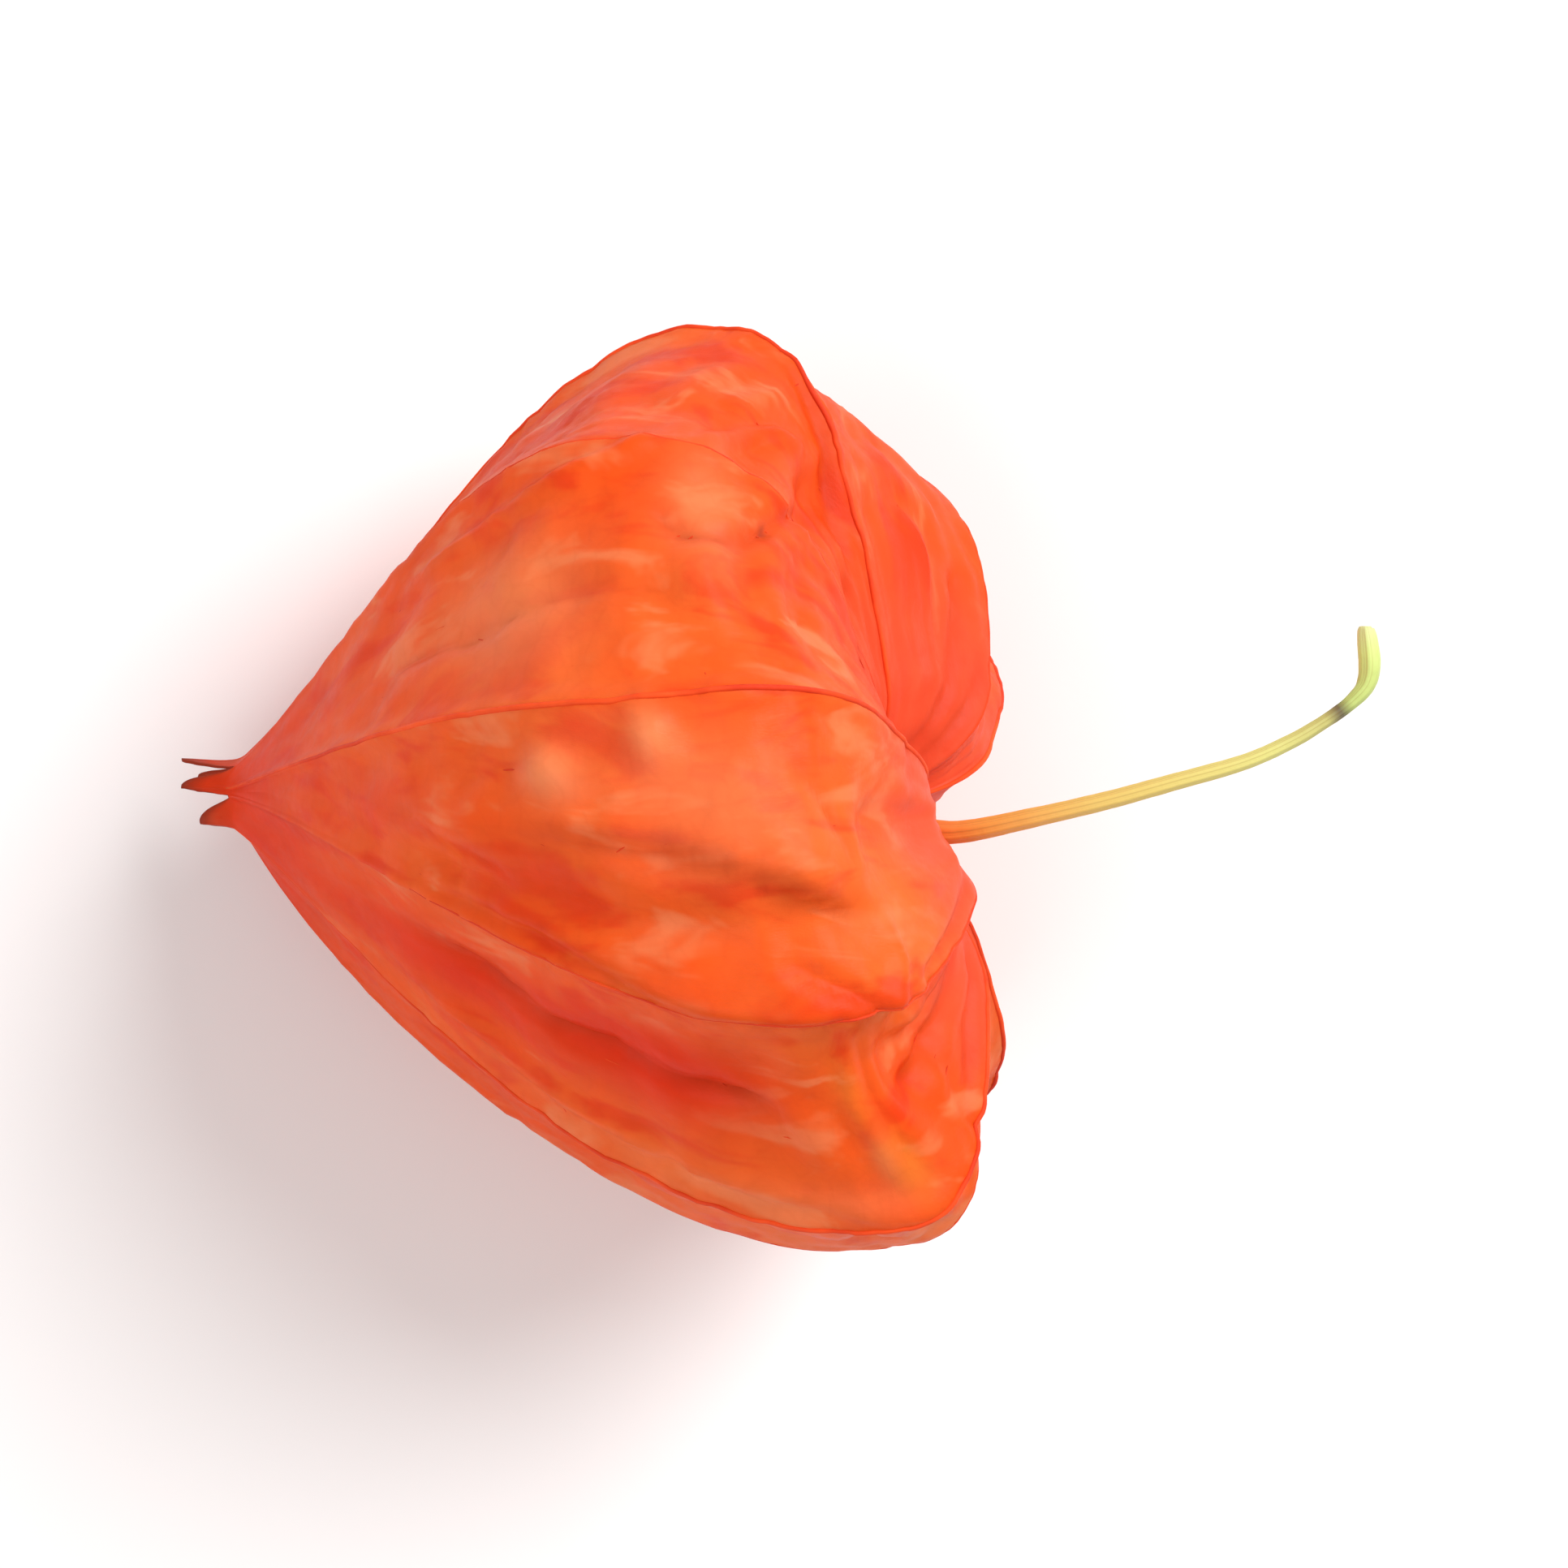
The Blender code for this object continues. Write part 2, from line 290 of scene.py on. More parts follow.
    def mix(self, share: Value, first: Value, second: Value, blend: str = "MIX") -> Socket:
        """Mix two colours.

        Args:
            share: How much of the second.
            first: First colour or socket.
            second: Second colour or socket.
            blend: Blender's name of the blending mode.

        Returns:
            The socket of the colour.
        """
        node = self.add("ShaderNodeMix", data_type="RGBA", blend_type=blend)
        self.set(node.inputs[0], share)
        for socket, value in ((node.inputs[6], first), (node.inputs[7], second)):
            self.set(socket, (*value, 1.0) if isinstance(value, tuple) else value)
        return node.outputs[2]

    def ramp(self, value: Value, stops: Iterable[tuple[float, Colour]]) -> Socket:
        """Colours along a line.

        Args:
            value: Where on the line, from 0 to 1.
            stops: Places and their colours, in order.

        Returns:
            The socket of the colour.
        """
        node = self.add("ShaderNodeValToRGB")
        elements = node.color_ramp.elements
        for index, (place, colour) in enumerate(stops):
            element = elements[index] if index < 2 else elements.new(place)
            element.position = place
            element.color = (*colour, 1.0)
        self.set(node.inputs[0], value)
        return node.outputs[0]


class ShaderWriter(TreeWriter):
    """A material's tree."""

    def __init__(self, name: str) -> None:
        """Make the material and empty its tree."""
        self.material = bpy.data.materials.new(name)
        self.material.use_nodes = True
        super().__init__(self.material.node_tree)

    def mask(self, name: str) -> Socket:
        """A number that the piece's mesh carries."""
        return self.add("ShaderNodeAttribute", attribute_name=name).outputs["Fac"]

    def vector(self, name: str) -> Socket:
        """A vector that the piece's mesh carries."""
        return self.add("ShaderNodeAttribute", attribute_name=name).outputs["Vector"]

    def place(self) -> Socket:
        """The piece's own coordinates."""
        return self.add("ShaderNodeTexCoord").outputs["Object"]

    def unrolled(self) -> Socket:
        """The piece's own UV map."""
        return self.add("ShaderNodeTexCoord").outputs["UV"]

    def bump(self, height: Value, distance: float, strength: float = 1.0,
             before: Optional[Socket] = None) -> Socket:
        """Fine relief that only bends the normal.

        Args:
            height: Height from 0 to 1.
            distance: Real height in metres.
            strength: Share of the effect.
            before: Normal of a coarser relief below it.

        Returns:
            The socket of the normal.
        """
        node = self.fill(self.add("ShaderNodeBump"), Height=height, Distance=distance, Strength=strength)
        if before is not None:
            self.set(node.inputs["Normal"], before)
        return node.outputs["Normal"]

    def surface(self, shader: Socket) -> bpy.types.Material:
        """Finish the material with its surface shader."""
        self.set(self.add("ShaderNodeOutputMaterial").inputs["Surface"], shader)
        return self.material


class GeometryWriter(TreeWriter):
    """A Geometry Nodes tree with named size inputs, applied once to a piece."""

    SOCKETS = {float: "NodeSocketFloat", int: "NodeSocketInt"}

    def __init__(self, name: str) -> None:
        """Make the tree with its geometry and material inputs."""
        super().__init__(bpy.data.node_groups.new(name, "GeometryNodeTree"))
        self.values: dict[str, Any] = {}
        self.tree.interface.new_socket("Geometry", in_out="INPUT", socket_type="NodeSocketGeometry")
        self.tree.interface.new_socket("Geometry", in_out="OUTPUT", socket_type="NodeSocketGeometry")
        self.material_input = self.interface_input("Material", "NodeSocketMaterial", None)
        self.group_input = self.add("NodeGroupInput")
        self.geometry = self.group_input.outputs["Geometry"]

    def interface_input(self, name: str, kind: str, value: Any) -> str:
        """Add an input to the tree.

        Args:
            name: Name that the modifier shows.
            kind: Blender's socket type.
            value: What the modifier sets it to.

        Returns:
            The input's identifier.
        """
        item = self.tree.interface.new_socket(name, in_out="INPUT", socket_type=kind)
        self.values[item.identifier] = value
        return item.identifier

    def size(self, name: str, value: Union[float, int]) -> Socket:
        """Add a named number input and give its socket."""
        self.interface_input(name, self.SOCKETS[type(value)], value)
        return self.group_input.outputs[name]

    def read(self, name: str, kind: str = "FLOAT") -> Socket:
        """A named attribute of the geometry."""
        node = self.add("GeometryNodeInputNamedAttribute", data_type=kind)
        return self.fill(node, Name=name).outputs["Attribute"]

    def then(self, kind: str, **values: Value) -> None:
        """Pass the geometry through one more node."""
        node = self.add(kind)
        self.set(node.inputs[0], self.geometry)
        self.geometry = self.fill(node, **values).outputs[0]

    def rest(self, lowest: float) -> None:
        """Lift every point below a height, in millimetres, up to it."""
        place = self.add("ShaderNodeSeparateXYZ")
        self.set(place.inputs[0], self.add("GeometryNodeInputPosition").outputs[0])
        level = self.math("MAXIMUM", place.outputs[2], self.size("Lowest", lowest * MM))
        lifted = self.fill(self.add("ShaderNodeCombineXYZ"), X=place.outputs[0], Y=place.outputs[1], Z=level)
        self.then("GeometryNodeSetPosition", Position=lifted.outputs[0])

    def apply(self, item: bpy.types.Object, material: bpy.types.Material) -> bpy.types.Object:
        """Run the tree on a piece and keep the result as its plain mesh.

        Args:
            item: The piece that the tree starts from.
            material: The finish that the tree sets.

        Returns:
            The same piece with its new mesh and no modifier.
        """
        self.then("GeometryNodeRealizeInstances")
        self.then("GeometryNodeSetMaterial", Material=self.group_input.outputs["Material"])
        self.set(self.add("NodeGroupOutput").inputs[0], self.geometry)
        modifier = item.modifiers.new(self.tree.name, "NODES")
        modifier.node_group = self.tree
        self.values[self.material_input] = material
        for identifier, value in self.values.items():
            modifier[identifier] = value
        return freeze(item)


def freeze(item: bpy.types.Object) -> bpy.types.Object:
    """Turn a piece and its modifiers into a plain mesh.

    Args:
        item: The piece.

    Returns:
        The same piece with the evaluated mesh and no modifiers.
    """
    bpy.context.view_layer.update()
    graph = bpy.context.evaluated_depsgraph_get()
    shown = item.evaluated_get(graph)
    mesh = bpy.data.meshes.new_from_object(shown, preserve_all_data_layers=True, depsgraph=graph)
    item.modifiers.clear()
    item.data = mesh
    mesh.name = item.name
    return item


def link(name: str, mesh: bpy.types.Mesh) -> bpy.types.Object:
    """Show a mesh under a name."""
    item = bpy.data.objects.new(name, mesh)
    bpy.context.scene.collection.objects.link(item)
    return item


def keep_numbers(mesh: bpy.types.Mesh, name: str, values: np.ndarray) -> None:
    """Store one number for each point of a mesh."""
    layer = mesh.attributes.new(name, "FLOAT", "POINT")
    layer.data.foreach_set("value", np.ascontiguousarray(values, dtype=np.float32).ravel())


def keep_vectors(mesh: bpy.types.Mesh, name: str, values: np.ndarray) -> None:
    """Store one vector for each point of a mesh."""
    layer = mesh.attributes.new(name, "FLOAT_VECTOR", "POINT")
    layer.data.foreach_set("vector", np.ascontiguousarray(values, dtype=np.float32).ravel())


def cords_mesh(name: str, routes: Sequence[np.ndarray], radii: Sequence[np.ndarray],
               numbers: dict[str, Sequence[np.ndarray]]) -> bpy.types.Mesh:
    """Loose polylines that a sweep turns into cords.

    Args:
        name: Name of the mesh.
        routes: Points of each line in metres.
        radii: Radius at each of those points in metres.
        numbers: More numbers to keep at the points, by name, in lists like the radii.

    Returns:
        A mesh of edges with the numbers as attributes.
    """
    counts = [len(route) for route in routes]
    starts = np.cumsum([0] + counts[:-1])
    edges = [(start + step, start + step + 1)
             for start, count in zip(starts.tolist(), counts) for step in range(count - 1)]
    mesh = bpy.data.meshes.new(name)
    mesh.from_pydata(np.vstack(routes).tolist(), edges, [])
    keep_numbers(mesh, "cord_radius", np.concatenate(radii))
    for label, values in numbers.items():
        keep_numbers(mesh, label, np.concatenate(values))
    return mesh


@dataclass(frozen=True)
class Rib:
    """One rib, and the panel of paper between it and the next rib of the table."""

    angle: float
    main: bool
    reach: float
    level: float
    rim_radius: float
    rim_height: float
    slim: float
    neck_swing: float
    rim_swing: float
    sink: float
    deep_at: float
    fold: float


RIBS = (
    Rib(83.0, True, 26.4, 30.0, 8.5, 38.5, 3.0, 0.0, -6.0, 0.9, 1.0, 0.2),
    Rib(48.0, False, 26.0, 28.5, 8.5, 38.8, 2.8, 0.0, 4.0, 0.8, 1.0, 0.0),
    Rib(12.5, True, 25.0, 29.5, 8.5, 41.5, 2.0, -3.0, 10.0, 0.2, 1.0, 0.8),
    Rib(-25.0, False, 24.6, 32.0, 8.5, 43.5, 1.8, 22.0, -4.0, 3.2, 0.62, 0.0),
    Rib(-65.5, True, 23.5, 34.5, 10.0, 42.5, 4.0, 0.0, -2.0, 1.3, 1.0, 0.3),
    Rib(-100.0, False, 24.2, 31.0, 9.5, 40.4, 0.0, 0.0, 0.0, 1.5, 1.0, 0.0),
    Rib(-136.0, True, 24.4, 28.0, 9.0, 39.8, 0.5, 0.0, 0.0, 1.8, 1.0, 0.3),
    Rib(-172.0, False, 21.4, 26.0, 8.0, 37.4, 0.5, 0.0, 0.0, 1.8, 1.0, 0.0),
    Rib(151.0, True, 24.4, 27.0, 9.0, 41.5, 0.5, 0.0, 0.0, 1.4, 1.0, 0.5),
    Rib(118.0, False, 24.0, 28.5, 9.5, 43.0, 1.5, 0.0, 2.0, 0.6, 1.0, 0.0),
)

# Length of each lobe as a share of the longest, in the order of the main ribs
LOBES = (1.0, 0.88, 0.72, 0.85, 0.95)


@dataclass(frozen=True)
class Dent:
    """A soft hollow of the paper, or a blister where the depth is negative."""

    angle: float
    place: float
    half_angle: float
    half_place: float
    depth: float


DENTS = (
    Dent(58.0, 1.62, 9.0, 0.10, 0.9),
    Dent(33.0, 1.80, 8.0, 0.12, -0.6),
    Dent(68.0, 1.30, 12.0, 0.08, 0.8),
    Dent(-2.0, 1.10, 9.0, 0.28, 2.2),
    Dent(2.0, 2.35, 6.0, 0.10, -0.5),
    Dent(-48.0, 1.28, 7.0, 0.12, 1.2),
    Dent(-86.0, 1.12, 8.0, 0.22, 1.8),
    Dent(-112.0, 1.85, 10.0, 0.16, 1.0),
    Dent(172.0, 1.05, 12.0, 0.30, 1.6),
    Dent(132.0, 1.90, 10.0, 0.18, 0.9),
)

# Blisters on the upper face, which only the finer paper carries; their pale look is painted highlight from
# the patches over them
BLISTERS = (
    Dent(4.0, 2.12, 3.0, 0.05, -1.05),
    Dent(9.0, 1.93, 3.5, 0.05, -0.90),
    Dent(0.0, 1.70, 4.0, 0.07, -0.60),
    Dent(17.0, 2.46, 5.0, 0.06, -0.35),
    Dent(21.0, 2.34, 5.0, 0.06, -0.30),
)


@dataclass(frozen=True)
class Crease:
    """A fold of the paper along a route of angles and places."""

    route: tuple[tuple[float, float], ...]
    kind: CreaseKind
    height: float
    width: float
    # Painted shade darkening the paper along the crease, from 0 to 1; it also sets how thick the fold's dark
    # cord is
    crease_shade: float = 0.0


# Line where the orange front turns over to the pink base
RIM_CREASE = Crease(((80, 1.75), (79, 1.55), (77, 1.35), (70, 1.15), (50, 1.08), (20, 1.06), (-12, 1.05)),
                    CreaseKind.GROOVE, 0.45, 0.50, 0.7)

# Long folds of the upper face, from the neck to the base
LONG_FOLDS = (
    Crease(((-3, 2.30), (-4, 1.95), (-8, 1.70), (-15, 1.40)), CreaseKind.STEP, 0.75, 0.70, 0.6),
    Crease(((-12, 2.45), (-17, 2.20), (-25, 1.95), (-26, 1.50)), CreaseKind.STEP, 0.40, 0.70, 0.3),
    Crease(((-47, 2.70), (-57, 2.40), (-60, 2.10), (-64, 1.75), (-67, 1.45)), CreaseKind.RIDGE, 0.45, 0.60),
    Crease(((-30, 2.65), (-41, 2.35), (-43, 2.15), (-47, 1.95)), CreaseKind.GROOVE, 0.60, 0.60, 0.9),
    Crease(((41, 2.50), (40, 2.30), (44, 2.05), (50, 1.85)), CreaseKind.RIDGE, 0.55, 0.60),
    Crease(((26, 2.55), (24, 2.30), (28, 2.05), (27, 1.80)), CreaseKind.GROOVE, 0.45, 0.60, 0.2),
)

# Short folds and crumples near the base
SHORT_FOLDS = (
    Crease(((48, 1.80), (62, 1.60), (70, 1.40)), CreaseKind.RIDGE, 0.55, 0.60, 0.4),
    Crease(((41, 1.95), (36, 1.78), (43, 1.50), (68, 1.22)), CreaseKind.GROOVE, 0.60, 0.60, 0.6),
    Crease(((-50, 1.15), (-60, 1.22), (-70, 1.32)), CreaseKind.GROOVE, 0.50, 0.55, 0.4),
    Crease(((-28, 1.50), (-22, 1.38), (-14, 1.36)), CreaseKind.RIDGE, 0.50, 0.55, 0.2),
    Crease(((-18, 1.80), (-23, 1.60), (-30, 1.45)), CreaseKind.GROOVE, 0.50, 0.55, 0.4),
    Crease(((8, 1.60), (2, 1.48), (-8, 1.42)), CreaseKind.GROOVE, 0.40, 0.55, 0.3),
)

# Creases of the base, which run together at the stalk
BASE_CREASES = (
    Crease(((113, 1.20), (108, 1.05), (102, 0.70), (95, 0.35)), CreaseKind.GROOVE, 0.80, 0.45, 0.7),
    Crease(((118, 1.08), (113, 0.75), (108, 0.40)), CreaseKind.GROOVE, 0.65, 0.40, 0.6),
    Crease(((100, 1.30), (98, 1.05), (92, 0.70)), CreaseKind.RIDGE, 0.55, 0.50, 0.3),
    Crease(((-27, 1.35), (-25, 1.10), (-20, 0.70)), CreaseKind.GROOVE, 0.75, 0.45, 0.7),
    Crease(((-40, 1.30), (-42, 1.08), (-38, 0.75)), CreaseKind.RIDGE, 0.60, 0.45, 0.3),
    Crease(((-52, 1.40), (-52, 1.20), (-48, 1.00), (-42, 0.70)), CreaseKind.GROOVE, 0.80, 0.45, 0.8),
    Crease(((-64, 1.25), (-62, 1.05), (-56, 0.70)), CreaseKind.GROOVE, 0.60, 0.40, 0.6),
    Crease(((-98, 1.10), (-92, 0.75), (-85, 0.40)), CreaseKind.GROOVE, 0.60, 0.45, 0.3),
)

CREASES = (RIM_CREASE, *LONG_FOLDS, *SHORT_FOLDS, *BASE_CREASES)


@dataclass(frozen=True)
class Patch:
    """A soft patch of another tint on the paper."""

    tint: Tint
    angle: float
    place: float
    half_angle: float
    half_place: float
    strength: float


# The patches that turn the paper pale peach are painted highlight on blisters, ridges and lit facets
PATCHES = (
    Patch(Tint.AMBER, -59.0, 1.60, 9.0, 0.16, 0.65),
    Patch(Tint.AMBER, -44.0, 1.72, 8.0, 0.12, 0.40),
    Patch(Tint.GLOW, -56.0, 1.70, 4.0, 0.06, 0.6),
    # Painted shade: deep red in the valley between the ribs at -25 and -65 degrees
    Patch(Tint.EMBER_AND_SHADE, -42.0, 2.20, 12.0, 0.28, 0.9),
    Patch(Tint.EMBER_AND_SHADE, -40.0, 2.55, 12.0, 0.15, 0.6),
    Patch(Tint.GLOW, 2.0, 1.80, 8.0, 0.22, 0.55),
    Patch(Tint.GLOW, 26.0, 2.20, 10.0, 0.16, 0.75),
    Patch(Tint.GLOW, 40.0, 1.75, 9.0, 0.12, 0.65),
    Patch(Tint.GLOW, 4.0, 2.12, 3.5, 0.05, 1.0),
    Patch(Tint.GLOW, 9.0, 1.93, 3.0, 0.04, 0.8),
    Patch(Tint.GLOW, -62.0, 2.00, 3.0, 0.45, 0.4),
    Patch(Tint.RUST, 43.0, 1.50, 1.3, 0.02, 0.8),
    Patch(Tint.EMBER_AND_SHADE, 60.0, 2.25, 9.0, 0.25, 0.5),
    Patch(Tint.EMBER_AND_SHADE, 0.0, 2.48, 8.0, 0.14, 0.5),
)


@dataclass
class Sheet:
    """Points of the paper by column and row, in millimetres from the neck."""

    panel: np.ndarray
    across: np.ndarray
    place: np.ndarray
    angle: np.ndarray
    radius: np.ndarray
    points: np.ndarray
    outward: np.ndarray


@dataclass(frozen=True)
class LanternForm:
    """The plain form of the husk, which leans on the table with its neck low.

    Places run along a rib: 0 the stalk hole, 1 the rim of the base, 2 the widest ring, 3 the
    neck and 4 the end of the longest lobe.
    """

    base_raised: float = math.radians(25.0)
    turned: float = math.radians(-2.5)
    neck_height: float = 8.2
    hole_radius: float = 0.76
    hole_level: float = 33.0
    neck_radius: float = 2.15
    lobe_length: float = 3.9
    lobe_end_radius: float = 1.8
    lobe_notch: float = 0.12
    lobe_point: float = 2.2
    shoulder_fullness: float = 0.79
    neck_handle: float = 11.0
    neck_lift: float = 5.2
    slim_lift: float = 0.5
    hole_lip: float = 1.0
    base_handle: float = 0.5
    cone_handle: float = 0.62
    lobe_pull: float = 0.5
    lobe_lift: float = 0.6
    base_lean: float = 0.12
    base_lean_level: float = 30.0
    full_relief_radius: float = 19.0
    place_step: float = 0.03
    ribs: tuple[Rib, ...] = RIBS
    lobes: tuple[float, ...] = LOBES

    def axes(self) -> tuple[np.ndarray, np.ndarray, np.ndarray]:
        """Directions along the axis to the stalk, up from it, and to the side."""
        turn = np.array([[math.cos(self.turned), -math.sin(self.turned), 0.0],
                         [math.sin(self.turned), math.cos(self.turned), 0.0],
                         [0.0, 0.0, 1.0]])
        cosine, sine = math.cos(self.base_raised), math.sin(self.base_raised)
        return (turn @ np.array([cosine, 0.0, sine]), turn @ np.array([-sine, 0.0, cosine]),
                turn @ np.array([0.0, 1.0, 0.0]))

    def value(self, name: str, panel: np.ndarray) -> np.ndarray:
        """A field of the rib before each point's panel."""
        table = np.array([float(getattr(rib, name)) for rib in self.ribs])
        return table[np.mod(panel, len(self.ribs))]

    def section_of(self, values: dict[str, np.ndarray], place: np.ndarray) -> tuple[np.ndarray, np.ndarray]:
        """Radius and level of a rib with these values.

        Args:
            values: The rib's fields by name, each a number or an array like place.
            place: Places along the rib.

        Returns:
            Radius from the axis and level above the neck, in millimetres.
        """
        reach, level, slim = values["reach"], values["level"], values["slim"]
        rim_radius, rim_height = values["rim_radius"], values["rim_height"]
        rise = rim_height - self.hole_level
        corner_radius = rim_radius + self.shoulder_fullness * (reach - rim_radius)
        corner_height = level + self.shoulder_fullness * (rim_height - level)
        hole, neck, lobe_end = self.hole_radius, self.neck_radius, self.lobe_end_radius
        radii = ((hole, hole + self.hole_lip, self.base_handle * rim_radius, rim_radius),
                 (rim_radius, corner_radius, reach, reach),
                 (reach, reach, self.neck_handle - slim, neck),
                 (neck, neck - self.lobe_pull, lobe_end, lobe_end))
        levels = ((self.hole_level, self.hole_level + self.base_handle * rise, rim_height, rim_height),
                  (rim_height, rim_height, corner_height, level),
                  (level, self.cone_handle * level, self.neck_lift + self.slim_lift * slim, 0.0),
                  (0.0, -self.lobe_lift, -0.5 * self.lobe_length, -self.lobe_length))
        part = np.clip(np.floor(place), 0, 3)
        share = place - part
        radius, height = np.zeros_like(place), np.zeros_like(place)
        for index in range(4):
            radius = np.where(part == index, bezier(radii[index], share), radius)
            height = np.where(part == index, bezier(levels[index], share), height)
        return radius, height

    def section(self, panel: np.ndarray, place: np.ndarray) -> tuple[np.ndarray, np.ndarray]:
        """Radius and level of the rib before each point's panel."""
        names = ("reach", "level", "slim", "rim_radius", "rim_height")
        return self.section_of({name: self.value(name, panel) for name in names}, place)

    def angle_of(self, panel: np.ndarray, place: np.ndarray) -> np.ndarray:
        """Angle of the rib before each point's panel, which swings to the neck and the rim."""
        return (self.value("angle", panel)
                + self.value("neck_swing", panel) * np.clip(place - 2.0, 0.0, 1.0)
                + self.value("rim_swing", panel) * np.clip(2.0 - place, 0.0, 1.0))

    def wall_direction(self, place: np.ndarray) -> tuple[np.ndarray, np.ndarray]:
        """Radial and axial parts of the outward direction of the mean section."""
        names = ("reach", "level", "slim", "rim_radius", "rim_height")
        mean = {name: np.mean([float(getattr(rib, name)) for rib in self.ribs]) for name in names}
        radius_after, level_after = self.section_of(mean, place + self.place_step)
        radius_before, level_before = self.section_of(mean, place - self.place_step)
        radial, axial = level_before - level_after, radius_after - radius_before
        length = np.hypot(radial, axial)
        return radial / length, axial / length

    def sheet(self, panel: np.ndarray, across: np.ndarray, place: np.ndarray) -> Sheet:
        """Points of the plain form.

        Args:
            panel: Index of the rib before each point.
            across: Share of the way to the next rib.
            place: Place along the rib.

        Returns:
            The points with their directions outward.
        """
        along, upward, side = self.axes()
        start, end = self.angle_of(panel, place), self.angle_of(panel + 1, place)
        end = np.where(end > start, end - 360.0, end)
        angle = start + (end - start) * across
        radius, level = self.section(panel, place)
        next_radius, next_level = self.section(panel + 1, place)
        radius = radius + (next_radius - radius) * across
        level = level + (next_level - level) * across
        out, up = np.sin(np.radians(angle)), np.cos(np.radians(angle))
        level = level - self.base_lean * radius * out * np.clip(level, 0.0, None) / self.base_lean_level
        from_axis = up[..., None] * upward + out[..., None] * side
        radial, axial = self.wall_direction(place)
        outward = radial[..., None] * from_axis + axial[..., None] * along
        points = level[..., None] * along + radius[..., None] * from_axis
        return Sheet(panel, across, place, angle, radius, points, outward)

    def locate(self, angle: float, place: float) -> tuple[int, float]:
        """Panel and share across it where an angle lies at a place."""
        for panel in range(len(self.ribs)):
            spot = np.array([place])
            start = float(self.angle_of(np.array([panel]), spot)[0])
            end = float(self.angle_of(np.array([panel + 1]), spot)[0])
            span = (start - end) % 360.0
            from_start = (start - angle) % 360.0
            if from_start <= span:
                return panel, from_start / span
        return 0, 0.0

    def line(self, route: Sequence[tuple[float, float]], steps: int = 8) -> np.ndarray:
        """Points of the plain form along a smooth route of angles and places."""
        spots = through_points(np.array(route, dtype=float), steps)
        found = [self.locate(angle, place) for angle, place in spots]
        sheet = self.sheet(np.array([panel for panel, _ in found]),
                           np.array([across for _, across in found]), spots[:, 1])
        return sheet.points

    def lobe_share(self, panel: int, across: float) -> float:
        """How far a column runs into the lobes: all the way on a main rib, hardly between two."""
        main = self.ribs[panel].main
        from_tip = across if main else 1.0 - across
        tip = panel if main else (panel + 1) % len(self.ribs)
        length = self.lobes[[rib.main for rib in self.ribs[:tip]].count(True)]
        narrowing = from_tip ** self.lobe_point
        return length * (1.0 - narrowing) + self.lobe_notch * narrowing


